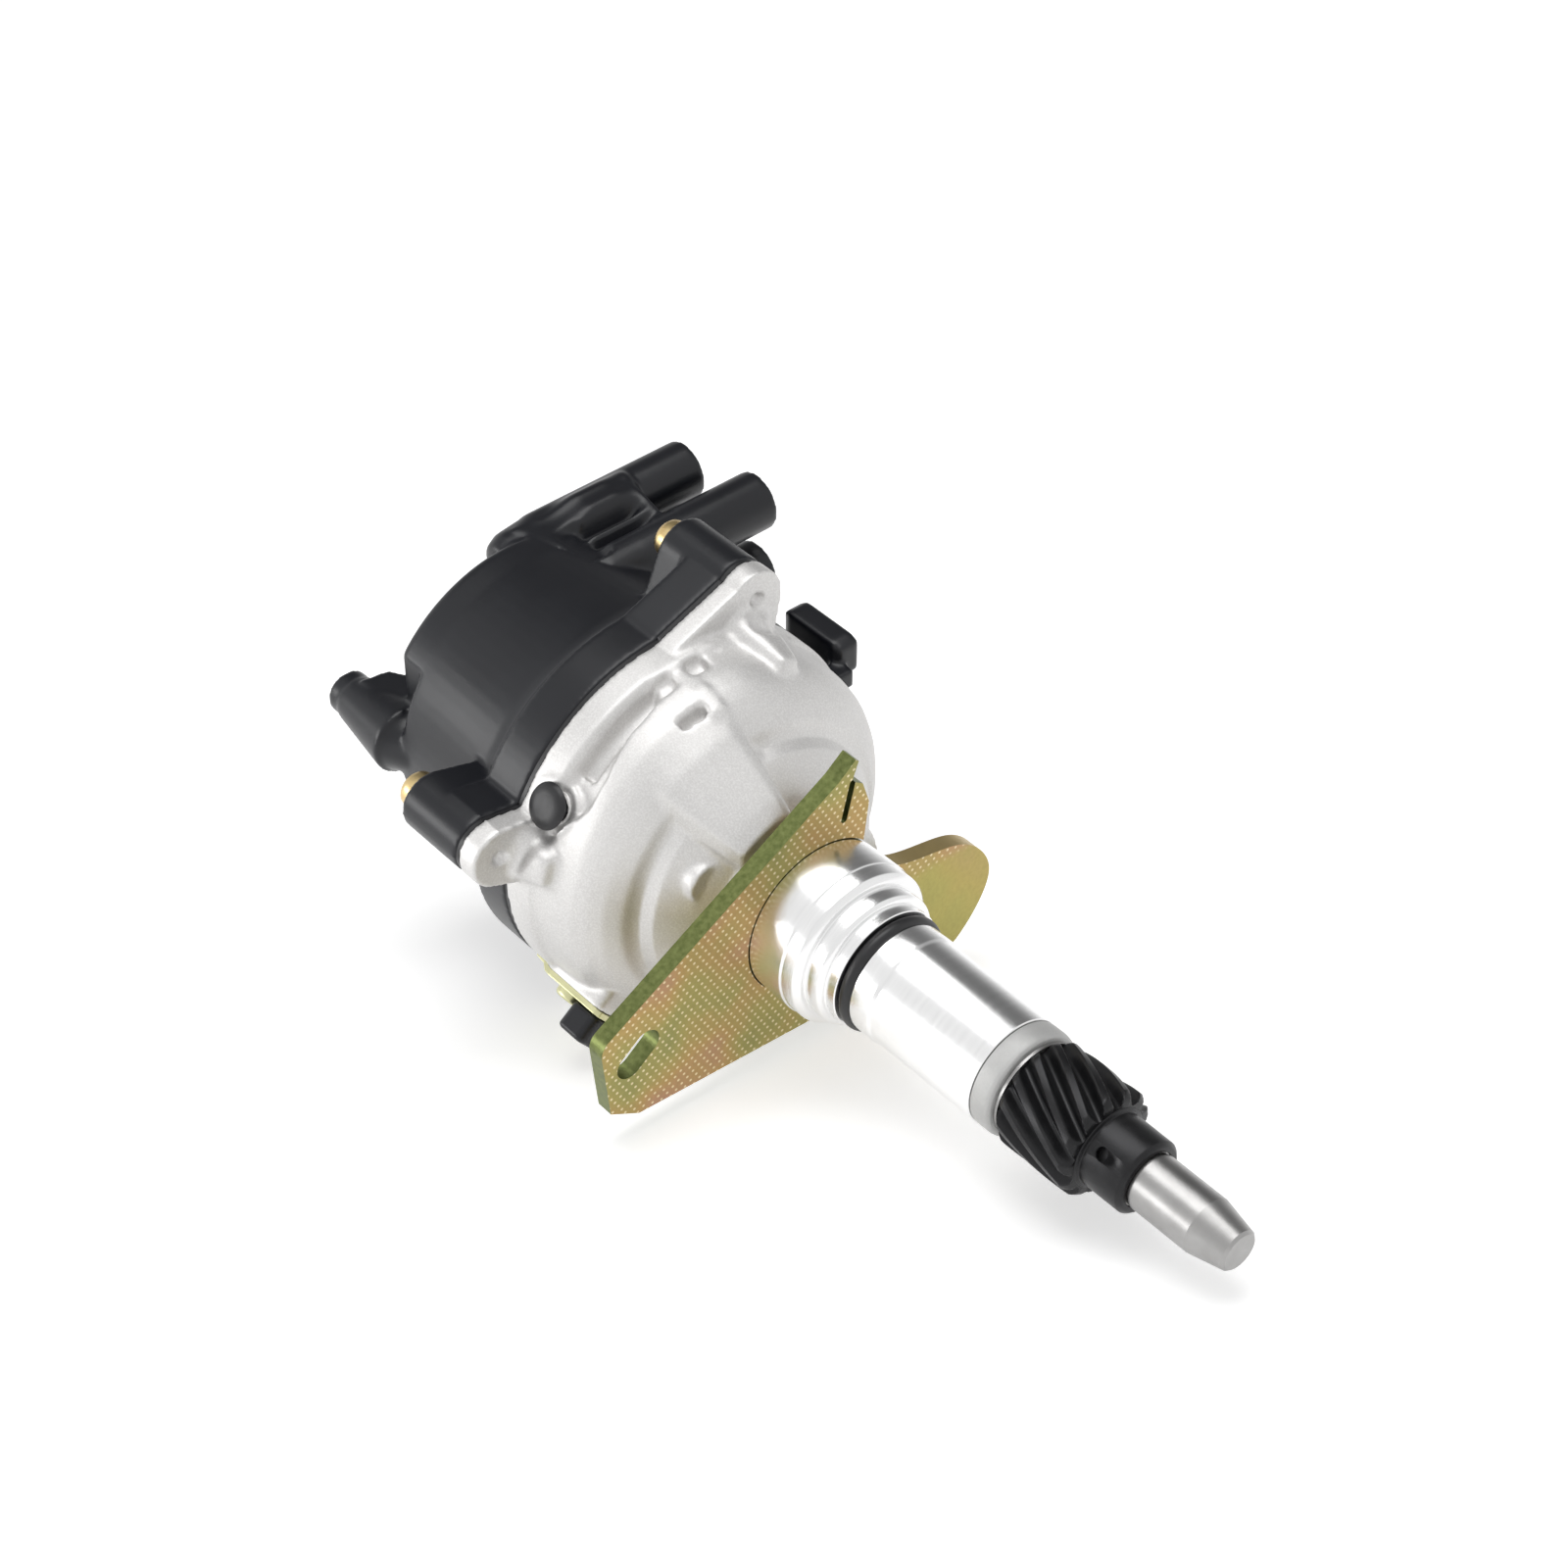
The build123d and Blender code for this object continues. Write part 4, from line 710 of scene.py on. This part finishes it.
# %% [markdown]
# ## The skin of the casting
#
# From here on the bowl is a cloud of points. Four numbers describe each of them:
# its station along the shaft, its distance from the axis, its angle round it,
# and whether it faces outward. Every press below is written in these.

# %% Skin
VOXEL = 0.6
skin = relaxed("casting", bowl, VOXEL * MM, rounds=4)
places, facing = read_mesh(skin)
radius = np.hypot(places[:, 1], places[:, 2])
turn = np.degrees(np.arctan2(places[:, 2], places[:, 1])) % 360.0
outward = (facing[:, 1] * places[:, 1] + facing[:, 2] * places[:, 2]) / np.maximum(radius, 1.0)


def draw_in(depth):
    """Moves every point towards the shaft axis by its own depth."""
    places[:, 1:] *= (1.0 - depth / np.maximum(radius, 1.0))[:, None]


print("skin:", len(places), "points")

# %% [markdown]
# ## Channel and crescent
#
# Below the band a channel runs past the vent plug to the second ear, and a
# crescent lies behind the first. Both are outlines of station and angle. Angles
# count as millimetres of arc on the bowl's wall, so that a slope is equally wide
# along the shaft and round it.

# %% Channel and crescent
WALL_R, PRESS_FROM_R = 38.0, 30.0
ARC = WALL_R * math.pi / 180.0
channel = (
    (-40.2, 103), (-40.2, 138), (-42, 150), (-41.5, 168), (-37.5, 155), (-32.6, 141), (-33, 131),
    (-35.2, 118), (-35.4, 111), (-36.6, 105),
)
crescent = ((-41.2, 66), (-38.2, 69), (-36.6, 64), (-38.2, 59), (-40.4, 60), (-38.9, 64))


def press(outline, depth, slope_width):
    """Sinks the outer wall by depth inside an outline of (station, degrees)."""
    inside = depth_inside(places[:, 0], turn * ARC, [(x, a * ARC) for x, a in outline])
    share = soft_step(inside, -slope_width / 2, slope_width / 2) * soft_step(outward, -0.1, 0.4)
    draw_in(depth * share * (radius > PRESS_FROM_R))


press(channel, depth=2.4, slope_width=1.6)
press(crescent, depth=1.8, slope_width=1.2)
print("pressed outlines of", len(channel), "and", len(crescent), "corners")

# %% [markdown]
# ## The steep face
#
# Away from the slope the shoulder ends in a steep face, and a rounded nose comes
# out of its foot and runs up to the plate. A table gives the largest radius at
# each station, and every point beyond it is drawn in. The inside of the wall
# keeps clear of the chamber in which the advance weights turn.

# %% Steep face and nose
steep_x = (-27.0, -24.0, -22.0, -21.6, -21.0, -20.3, -19.4, -17.0, -14.0, -11.0, -9.0, -7.0, -5.0, -3.9)
steep_r = (99.0, 39.4, 38.6, 38.0, 35.2, 32.2, 30.8, 29.8, 28.4, 26.8, 25.2, 23.2, 21.4, 20.8)
THIN_WALL, CHAMBER_R = 1.0, 27.5
on_slope = soft_step(turn, 86.0, 93.0) * (1.0 - soft_step(turn, 126.0, 136.0))
largest = np.interp(places[:, 0], steep_x, steep_r)
largest = np.where(outward < 0.0, np.maximum(largest - THIN_WALL, CHAMBER_R), largest)
excess = np.maximum(radius - largest, 0.0) * (places[:, 0] > steep_x[0]) * (1.0 - on_slope)
draw_in(excess)
print("drawn in:", np.count_nonzero(excess), "points")

# %% [markdown]
# ## Ear dimples, and the last smoothing
#
# Two of the ears have a small dimple in the side that faces the gear. At the end
# the bosses behind these ears are smoothed well, and the edges of the channel a
# little. `settled` smooths only the points it is given, so the rim stays crisp.

# %% Dimples, smoothing and the piece
DIMPLE, DIMPLE_R = 1.6, (1.0, 1.9)
for angle in EARS[:2]:
    y, z = polar(EAR_CIRCLE, angle)
    away = np.hypot(places[:, 1] - y, places[:, 2] - z)
    gear_side = (facing[:, 0] > 0.4) * (places[:, 0] > -44.5)
    places[:, 0] -= DIMPLE * (1.0 - soft_step(away, *DIMPLE_R)) * gear_side
write_mesh(skin, places)
station = places[:, 0]


def region(first_x, last_x, beyond_r, first_turn, last_turn):
    """The points in a range of stations and of angles, and beyond a radius."""
    along = (station > first_x) & (station < last_x)
    return along & (radius > beyond_r) & (turn > first_turn) & (turn < last_turn)


bosses = region(-42.3, -23.0, 38.5, 50.0, 80.0) | region(-42.3, -29.0, 41.0, 155.0, 173.0)
settled(skin, bosses, rounds=14)
settled(skin, region(-41.8, -20.0, 33.0, 84.0, 200.0), rounds=2)
casting = add_piece("casting", skin, "cast_aluminium")
print("casting:", len(casting.data.vertices), "points,", int(bosses.sum()), "of them on the bosses")

# %% [markdown]
# ## The turned neck
#
# Collar, lands, seal groove and barrel are turned in one clamping, so a lathe is
# also the way to make them here: a profile of stations and radii is spun round
# the shaft axis. Each corner of the profile gets a small chamfer, because a
# turned edge is always broken, and it is that chamfer which catches the light.

# %% A lathe
LATHE_SIDES = 180


def eased(profile, size):
    """The closed profile with each corner cut back by size, or less where a side is short."""
    out = []
    for k, here in enumerate(profile):
        for other in (profile[k - 1], profile[(k + 1) % len(profile)]):
            length = math.dist(here, other)
            share = min(size, length * 0.4) / length
            out.append(tuple(a + (b - a) * share for a, b in zip(here, other)))
    return out


def turned(name, profile, finish, ease, body="housing"):
    """Spins a closed profile of (station, radius) in millimetres round the shaft axis."""
    ring = eased(profile, ease)
    count = len(ring)
    points, faces = [], []
    for side in range(LATHE_SIDES):
        a = 2 * math.pi * side / LATHE_SIDES
        points += [(x, r * math.cos(a), r * math.sin(a)) for x, r in ring]
        here, there = side * count, (side + 1) % LATHE_SIDES * count
        for k in range(count):
            n = (k + 1) % count
            faces.append((here + k, there + k, there + n, here + n))
    return add_piece(name, mesh_from(name, points, faces), finish, body)


print("lathe of", LATHE_SIDES, "sides")

# %% Neck, barrel and end band
neck_profile = (
    (-4.3, 17.9), (9.4, 18.2), (9.7, 17.9), (13.0, 17.9), (14.2, 16.6), (14.2, 15.5), (17.7, 15.5),
    (18.5, 14.6), (18.5, 13.9), (21.2, 13.9), (21.2, 10.35), (24.4, 10.35), (24.4, 12.7), (29.6, 12.7),
    (30.4, 12.3), (58.5, 12.3), (58.5, 9.0), (-4.3, 9.0),
)
band_profile = (
    (58.6, 9.0), (58.6, 11.9), (59.6, 12.1), (62.4, 12.1), (63.3, 11.9), (63.8, 11.4), (64.0, 10.6),
    (64.0, 9.0),
)
neck = turned("turned_neck", neck_profile, "turned_aluminium", ease=0.22)
end_band = turned("end_band", band_profile, "matt_aluminium", ease=0.1)
for piece in (casting, neck, end_band):
    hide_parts("housing")
print("neck:", len(neck.data.polygons), "faces, end band:", len(end_band.data.polygons))

# %% [markdown]
# ## The cap
#
# A moulding has the same soft corners as a casting, so the cap goes through the
# same skin, with one more round of smoothing. First it gets a few bodies that
# the solid lacks: soft roots where the far towers, the near upper tower and the
# coil tower leave the dome, and a slab that closes the solid's slots between the
# upper towers, so that the grooves there can be pressed afresh.

# %% Roots and slab
NEAR_X, FAR_X, UPPER_Z, LOWER_Z = -84.5, -103.6, 30.0, 11.0
COIL_Y, COIL_Z = -32.5, 2.0
SLAB_X, SLAB_Y, SLAB_Z, SLAB_HEIGHT = (-97.5, -91.4), (16.0, 31.8), 30.1, 6.2
far_root = ((-1.6, 2.6), (-0.9, 4.4), (2.0, 5.8), (8.0, 6.4))
near_root = ((8, -1.5, 4.6), (13, 0, 6.6), (24, 0, 6.8))
coil_root = ((-98.0, 8.0), (-94.5, 6.4), (-90.0, 4.7))
shell = bmesh.new()
shell.from_mesh(nodes["distributor_cap"].data)
bmesh.ops.remove_doubles(shell, verts=shell.verts, dist=1e-6)
for z in (UPPER_Z, LOWER_Z):
    add_loft(shell, [ring_at((FAR_X, y, z), r, "Y") for y, r in far_root])
add_loft(shell, [ring_at((NEAR_X, y, UPPER_Z + lift), r, "Y") for y, lift, r in near_root])
slab_top = SLAB_Z + SLAB_HEIGHT
add_loft(shell, [
    [(x, SLAB_Y[0], SLAB_Z), (x, SLAB_Y[1], SLAB_Z), (x, SLAB_Y[1], slab_top), (x, SLAB_Y[0], slab_top)]
    for x in SLAB_X
])
add_loft(shell, [ring_at((x, COIL_Y, COIL_Z), r, "X") for x, r in coil_root])
moulding = nodes["distributor_cap"].data.copy()
shell.to_mesh(moulding)
shell.free()
skin = relaxed("cap_skin", moulding, VOXEL * MM, rounds=5)
print("cap skin:", len(skin.vertices), "points")

# %% [markdown]
# ## The crown
#
# Between the upper towers the crown swells, with two grooves across it that keep
# the moulding's walls even. A table gives the height of its top at each station,
# once in the grooves and once along the lip in front of them. The flat web of
# the solid is stretched up or down to that height.

# %% Swell and grooves
DOME_R, WEB_Z = 37.2, 36.4
crown_x = (
    -106.0, -103.0, -98.2, -96.8, -95.6, -94.5, -93.4, -92.2, -91.2, -90.3, -89.4, -88.0, -86.5, -84.5,
)
groove_z = (37.0, 38.0, 38.0, 37.2, 34.4, 31.4, 33.6, 36.0, 33.4, 31.0, 33.4, 35.6, 36.4, 36.6)
lip_z = (36.8, 37.3, 37.2, 36.9, 36.5, 36.2, 35.9, 35.6, 35.2, 34.8, 35.0, 35.8, 36.4, 36.6)
places, _ = read_mesh(skin)
x, y, z = places.T
dome_z = np.sqrt(np.maximum(DOME_R ** 2 - y ** 2, 1.0))
grooved, lipped = np.interp(x, crown_x, groove_z), np.interp(x, crown_x, lip_z)
top = grooved + (lipped - grooved) * soft_step(y, 27.0, 33.0)
rise = np.where(x < -97.0, soft_step(y, 5.0, 21.0), soft_step(y, 14.3, 16.6))
top = dome_z + (top - dome_z) * rise
inside = soft_step(x, -106.5, -104.0) * (1.0 - soft_step(x, -85.5, -84.0))
inside *= soft_step(y, 8.0, 11.0) * (1.0 - soft_step(y, 34.0, 35.5))
height = np.clip((z - dome_z) / np.maximum(WEB_Z - dome_z, 0.3), 0.0, 1.15)
places[:, 2] += np.where(z > dome_z, (top - WEB_Z) * height * inside, 0.0)
write_mesh(skin, places)
settled(skin, (inside > 0.0) & (y > 6.0) & (z > 27.0), rounds=3)
cap = add_piece("cap_skin", skin, "distributor_cap")
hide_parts("distributor_cap")
print("cap:", len(cap.data.vertices), "points")

# %% [markdown]
# ## Cap screws
#
# A cap screw has a domed head on its washer, with a small socket in the top. It
# is round but doesn't lie on the shaft axis, so a second lathe spins an open
# profile of heights and radii round any axis. The same lathe makes the vent plug
# and, later, a drill.

# %% A lathe for any axis
def turned_at(name, profile, finish, middle, toward, body="housing", sides=48):
    """Spins an open profile of (height, radius) round an axis through a middle."""
    up = Vector(toward).normalized()
    across = up.orthogonal().normalized()
    beside = up.cross(across)
    angles = [2 * math.pi * k / sides for k in range(sides)]
    spokes = [across * math.cos(a) + beside * math.sin(a) for a in angles]
    rows = [[Vector(middle) + up * height + spoke * r for spoke in spokes] for height, r in profile]
    return add_piece(name, smooth_shaded(loft_mesh(name, rows), 40.0), finish, body)


print("second lathe ready")

# %% Screws
screw_profile = (
    (-22.0, 1.0), (-21.5, 2.4), (-0.05, 2.4), (-0.04, 5.0), (0.9, 5.0), (1.0, 4.3), (3.0, 4.3), (3.9, 4.1),
    (4.6, 3.5), (5.0, 2.6), (5.1, 1.6), (4.4, 1.3), (3.4, 1.1),
)
BOSS_X = -67.0
for number, angle in enumerate(EARS):
    seat = (BOSS_X, *polar(EAR_CIRCLE, angle))
    screw = turned_at(f"screw_{number}", screw_profile, "cap_screws", seat, (-1, 0, 0))
    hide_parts("cap_screws")
print("screws:", len(EARS), "heads", screw_profile[10][0], "mm high")

# %% [markdown]
# ## The vent plug
#
# The plug closes a breather hole in the bowl. It is a low rubber dome with a
# rounded lip, on a stem that goes into the hole. A flattened sphere would do for
# the dome, but a profile gives the lip and the stem as well.

# %% Vent plug
VENT_X, VENT_ANGLE, SEAT_R = -40.5, 147.0, 43.4
vent_profile = (
    (-4.0, 3.3), (-0.05, 3.4), (0.0, 4.8), (0.35, 5.0), (0.8, 4.7), (1.25, 3.9), (1.5, 2.6), (1.6, 0.8),
)
vent_seat, vent_out = (VENT_X, *polar(SEAT_R, VENT_ANGLE)), (0.0, *polar(1.0, VENT_ANGLE))
plug = turned_at("vent_dome", vent_profile, "vent_plug", vent_seat, vent_out)
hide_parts("vent_plug")
print("vent plug:", len(plug.data.polygons), "faces")

# %% [markdown]
# ## The brush spring
# The carbon brush moves back against its spring. The spring's solid can't shorten
# by itself, so a copy of it, with a mesh of its own, stands for it.

# %% Brush spring
spring = add_piece("spring_soft", nodes["brush_spring"].data.copy(), "brush_spring")
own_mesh(spring)
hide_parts("brush_spring")

# %% [markdown]
# ## The connector
#
# The connector is a moulded body with generous corners on a short foot that goes
# into the bowl. Its corners would need a fillet on every edge. Two boxes, one of
# them with drawn-in ends, and many rounds of smoothing give them all at once,
# and the mouth is pressed into the end afterwards.

# %% Connector
CONNECTOR_TOP_Y, MOUTH_DEPTH, FINE_VOXEL = 50.4, 8.0, 0.5
body_rows = (
    (-62.0, 45.0, 11.0, 18.0), (-60.0, 44.3, 9.8, 19.4), (-46.0, 44.3, 9.8, 19.4), (-43.6, 44.8, 10.6, 18.4)
)
foot_outline = ((33.0, 10.0), (46.0, 10.0), (46.0, 14.5), (33.0, 14.5))
mouth_outline = ((45.8, 10.6), (49.2, 10.6), (49.2, 17.4), (45.8, 17.4))
boxes = loft_mesh(
    "connector_body",
    [
        [(x, low_y, low_z), (x, CONNECTOR_TOP_Y, low_z), (x, CONNECTOR_TOP_Y, high_z), (x, low_y, high_z)]
        for x, low_y, low_z, high_z in body_rows
    ],
    [[(x, y, z) for y, z in foot_outline] for x in (-45.6, -40.4)],
)
skin = relaxed("connector_body", boxes, FINE_VOXEL * MM, rounds=14)
places, facing = read_mesh(skin)
mouth = depth_inside(places[:, 1], places[:, 2], mouth_outline)
places[:, 0] += MOUTH_DEPTH * soft_step(mouth, -0.1, 0.3) * (facing[:, 0] < -0.3)
write_mesh(skin, places)
connector = add_piece("connector_body", skin, "connector")
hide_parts("connector")
print("connector:", len(connector.data.vertices), "points")

# %% [markdown]
# ## The lead bracket
#
# The bracket is a strip of sheet, screwed to its pad and bent down at one end. A
# flat plate could be bent with a modifier, but a loft along the strip is shorter:
# it takes a height and a half width at each step, and a bevel breaks the edges.

# %% Lead bracket
PAD_X, PAD_ANGLE, STRIP_T = -35.5, 217.0, 1.4
pad_out = Vector((0.0, *polar(1.0, PAD_ANGLE)))
pad_side = Vector((1.0, 0.0, 0.0)).cross(pad_out)
pad_seat = Vector((PAD_X, *polar(SEAT_R, PAD_ANGLE)))
strip = (
    (-12.6, -1.2, 3.0), (-9.4, -1.0, 3.6), (-7.4, 0.0, 4.4), (-5.6, 0.1, 5.0), (9.6, 0.1, 5.0),
    (11.0, 0.1, 4.2),
)
strip_rows = [
    [
        pad_seat + Vector((along, 0, 0)) + pad_out * (lift + over) + pad_side * side
        for over, side in ((0.0, -half), (0.0, half), (STRIP_T, half), (STRIP_T, -half))
    ]
    for along, lift, half in strip
]
bracket = add_piece("bracket_strip", loft_mesh("bracket_strip", strip_rows), "lead_bracket")
soften = bracket.modifiers.new("soften", "BEVEL")
soften.width, soften.segments = 0.25 * MM, 2
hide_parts("lead_bracket")
print("bracket:", len(bracket.data.polygons), "faces before its bevel")

# %% [markdown]
# ## The helical gear
#
# Thirteen teeth wind round the gear as they go along it. An array of one tooth
# would leave a seam at every root. So one closed outline of root, flank and tip
# is turned a little more at each of many stations, and the outline is drawn in
# at both ends, so the teeth are chamfered.

# %% Outline and stations
GEAR_START, GEAR_END, HUB_END = 64.8, 84.5, 95.5
GEAR_LEN = GEAR_END - GEAR_START
TEETH, GEAR_TURN = 13, 52.0
tooth_outline = (
    (-0.50, 9.5), (-0.42, 9.55), (-0.345, 9.9), (-0.27, 10.6), (-0.205, 11.3), (-0.165, 11.75),
    (-0.12, 11.97), (0.0, 12.0), (0.12, 11.97),
    (0.165, 11.75), (0.205, 11.3), (0.27, 10.6), (0.345, 9.9), (0.42, 9.55),
)
outline = [
    ((tooth + 0.5 + offset) * 360.0 / TEETH, r) for tooth in range(TEETH) for offset, r in tooth_outline
]
first_steps, last_steps, last_len = (0.0, 0.35, 0.8, 1.3), (1.5, 0.9, 0.4, 0.0), 2.0
middle_start, middle_len, middle_steps = first_steps[-1], GEAR_LEN - first_steps[-1] - last_len, 30
stations = [*first_steps]
stations += [middle_start + middle_len * k / middle_steps for k in range(1, middle_steps + 1)]
stations += [GEAR_LEN - step for step in last_steps]
print("gear:", len(outline), "points round,", len(stations), "stations")

# %% Teeth
CHAMFER_LEN, CHAMFER_R, CHAMFER_RISE, GEAR_BORE_R = 1.5, 10.4, 1.62, 6.4
points, faces = [], []
for along in stations:
    from_end = min(along, GEAR_LEN - along)
    tip_limit = CHAMFER_R + CHAMFER_RISE * min(1.0, from_end / CHAMFER_LEN) ** 0.6
    twist = GEAR_TURN * along / GEAR_LEN
    points += [(GEAR_START + along, *polar(min(r, tip_limit), degrees + twist)) for degrees, r in outline]
count = len(outline)
for row in range(len(stations) - 1):
    for k in range(count):
        n = (k + 1) % count
        faces.append((row * count + k, row * count + n, (row + 1) * count + n, (row + 1) * count + k))
for row, twist in ((0, 0.0), (len(stations) - 1, GEAR_TURN)):
    inner = len(points)
    points += [(GEAR_START + stations[row], *polar(GEAR_BORE_R, degrees + twist)) for degrees, _ in outline]
    for k in range(count):
        n = (k + 1) % count
        side = (row * count + k, row * count + n, inner + n, inner + k)
        faces.append(side if twist else side[::-1])
gear = add_piece("gear_teeth", mesh_from("gear_teeth", points, faces, 38.0), "drive_gear", "shaft")
print("gear:", len(gear.data.polygons), "faces")

# %% [markdown]
# ## The hub and its cross hole
#
# The hub is turned in one piece with the gear and drilled for its pin. A hole in
# a round wall is one of the few places where a boolean is the short way. The
# drill is made on the second lathe and taken away once it has cut.

# %% Hub
HOLE_X, HOLE_ANGLE, HOLE_R = 88.3, 137.0, 1.45
hub_profile = (
    (GEAR_END - 0.5, 6.3), (GEAR_END - 0.5, 9.2), (GEAR_END + 0.15, 9.2), (GEAR_END + 0.5, 8.35),
    (HUB_END - 0.9, 8.3), (HUB_END, 7.4), (HUB_END, 6.3),
)
hub = turned("gear_hub", hub_profile, "drive_gear", ease=0.14, body="shaft")
drill_profile, drill_toward = ((6.6, HOLE_R), (9.5, HOLE_R)), (0.0, *polar(1.0, HOLE_ANGLE))
drill = turned_at("drill", drill_profile, "drive_gear", (HOLE_X, 0, 0), drill_toward, "shaft", 32)
cut = hub.modifiers.new("cross_hole", "BOOLEAN")
cut.operation, cut.object, cut.solver = "DIFFERENCE", drill, "EXACT"
bored = bpy.data.meshes.new_from_object(hub.evaluated_get(bpy.context.evaluated_depsgraph_get()))
hub.modifiers.remove(cut)
hub.data = bored
bpy.data.objects.remove(drill)
for piece in (gear, hub):
    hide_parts("drive_gear")
print("hub:", len(hub.data.polygons), "faces")

# %% [markdown]
# ## The floor
#
# The part rests on the plate's lower edge, the shaft tip and the cap's far side,
# so in its own frame the table is a tilted plane. The plane is moved down until
# it meets the lowest point of the part. It is a pale matt white that takes the
# part's shadow. It glows a little for the camera and for reflections only, so
# the background is white and no more light falls on the part.

# %% Floor
FLOOR_SIZE, FLOOR_GLOW = 12.0, 0.5
table_normal = Vector((-0.20, 0.087, 0.976)).normalized()
table_reach = min(table_normal @ v.co for node in nodes.values() for v in node.data.vertices)
bpy.ops.mesh.primitive_plane_add(size=FLOOR_SIZE)
table = bpy.context.active_object
table.name = "studio_table"
table.rotation_euler = table_normal.to_track_quat("Z", "Y").to_euler()
table.location = table_normal * table_reach
white = Finish("studio_white", Roughness=0.9, Specular_IOR_Level=0.1)
looked_at = white.ray("Is Camera Ray") + white.ray("Is Glossy Ray")
glow = white.mix(looked_at, (0.0, 0.0, 0.0), (FLOOR_GLOW, FLOOR_GLOW, FLOOR_GLOW))
white.set(Base_Color=(0.82, 0.82, 0.82), Emission_Color=glow)
white.shader.inputs["Emission Strength"].default_value = 1.0
table.data.materials.append(white.material)
print("table reach", round(table_reach, 5))

# %% [markdown]
# ## The air
#
# Bare metal shows what stands round it. In an even white world a barrel would
# lose its roundness, so the air that reflections see has one dim patch, behind
# and above the part, which lies as a grey band along every bright cylinder. The
# camera sees plain white, and the part itself is lit at a calm level.

# %% World
AIR_LIGHT, AIR_LIT, AIR_SHADED = 0.42, 0.92, 0.16
SHADE_TOWARD, SHADE_RIM, SHADE_CORE = (-0.546, 0.557, 0.626), 0.55, 0.97
scene.world = bpy.data.worlds.new("studio_air")
scene.world.use_nodes = True
air = Graph(scene.world.node_tree)
seen, mirrored = air.ray("Is Camera Ray"), air.ray("Is Glossy Ray")
looking = air.node("TexCoord", out="Generated")
nearness = air.node("VectorMath", {"operation": "DOT_PRODUCT"}, {0: looking, 1: SHADE_TOWARD}, out="Value")
shade = air.ramp(nearness, SHADE_CORE, SHADE_RIM) * (AIR_LIT - AIR_SHADED) + AIR_SHADED
either = air.node("Math", {"operation": "MAXIMUM"}, {0: seen, 1: mirrored})
background = air.tree.nodes["Background"]
air.feed(background.inputs["Strength"], air.blend(either, AIR_LIGHT, 1.0))
air.feed(background.inputs["Color"], air.blend(mirrored, 1.0, shade))
print("air of", len(air.tree.nodes), "nodes")

# %% [markdown]
# ## Softboxes
#
# A large softbox overhead and a smaller one low at the side give soft shadows and
# long, broad lights. Point lamps would give hard ones and a spot on each edge.

# %% Light
def softbox(name, place, toward, size, watts):
    data = bpy.data.lights.new(name, "AREA")
    data.shape = "RECTANGLE"
    data.size, data.size_y = size
    data.energy = watts
    lamp = bpy.data.objects.new(name, data)
    lamp.location = place
    lamp.rotation_euler = (Vector(toward) - Vector(place)).to_track_quat("-Z", "Y").to_euler()
    scene.collection.objects.link(lamp)


softbox("overhead_box", (-0.25, 0.10, 1.1), (0.0, 0.0, 0.0), (0.9, 0.7), 6.5)
softbox("side_box", (-0.60, -0.85, 0.16), (-0.05, 0.0, 0.0), (0.7, 0.35), 3.5)
print("lights:", len(bpy.data.lights))

# %% [markdown]
# The dressed part must not outgrow the solid one.
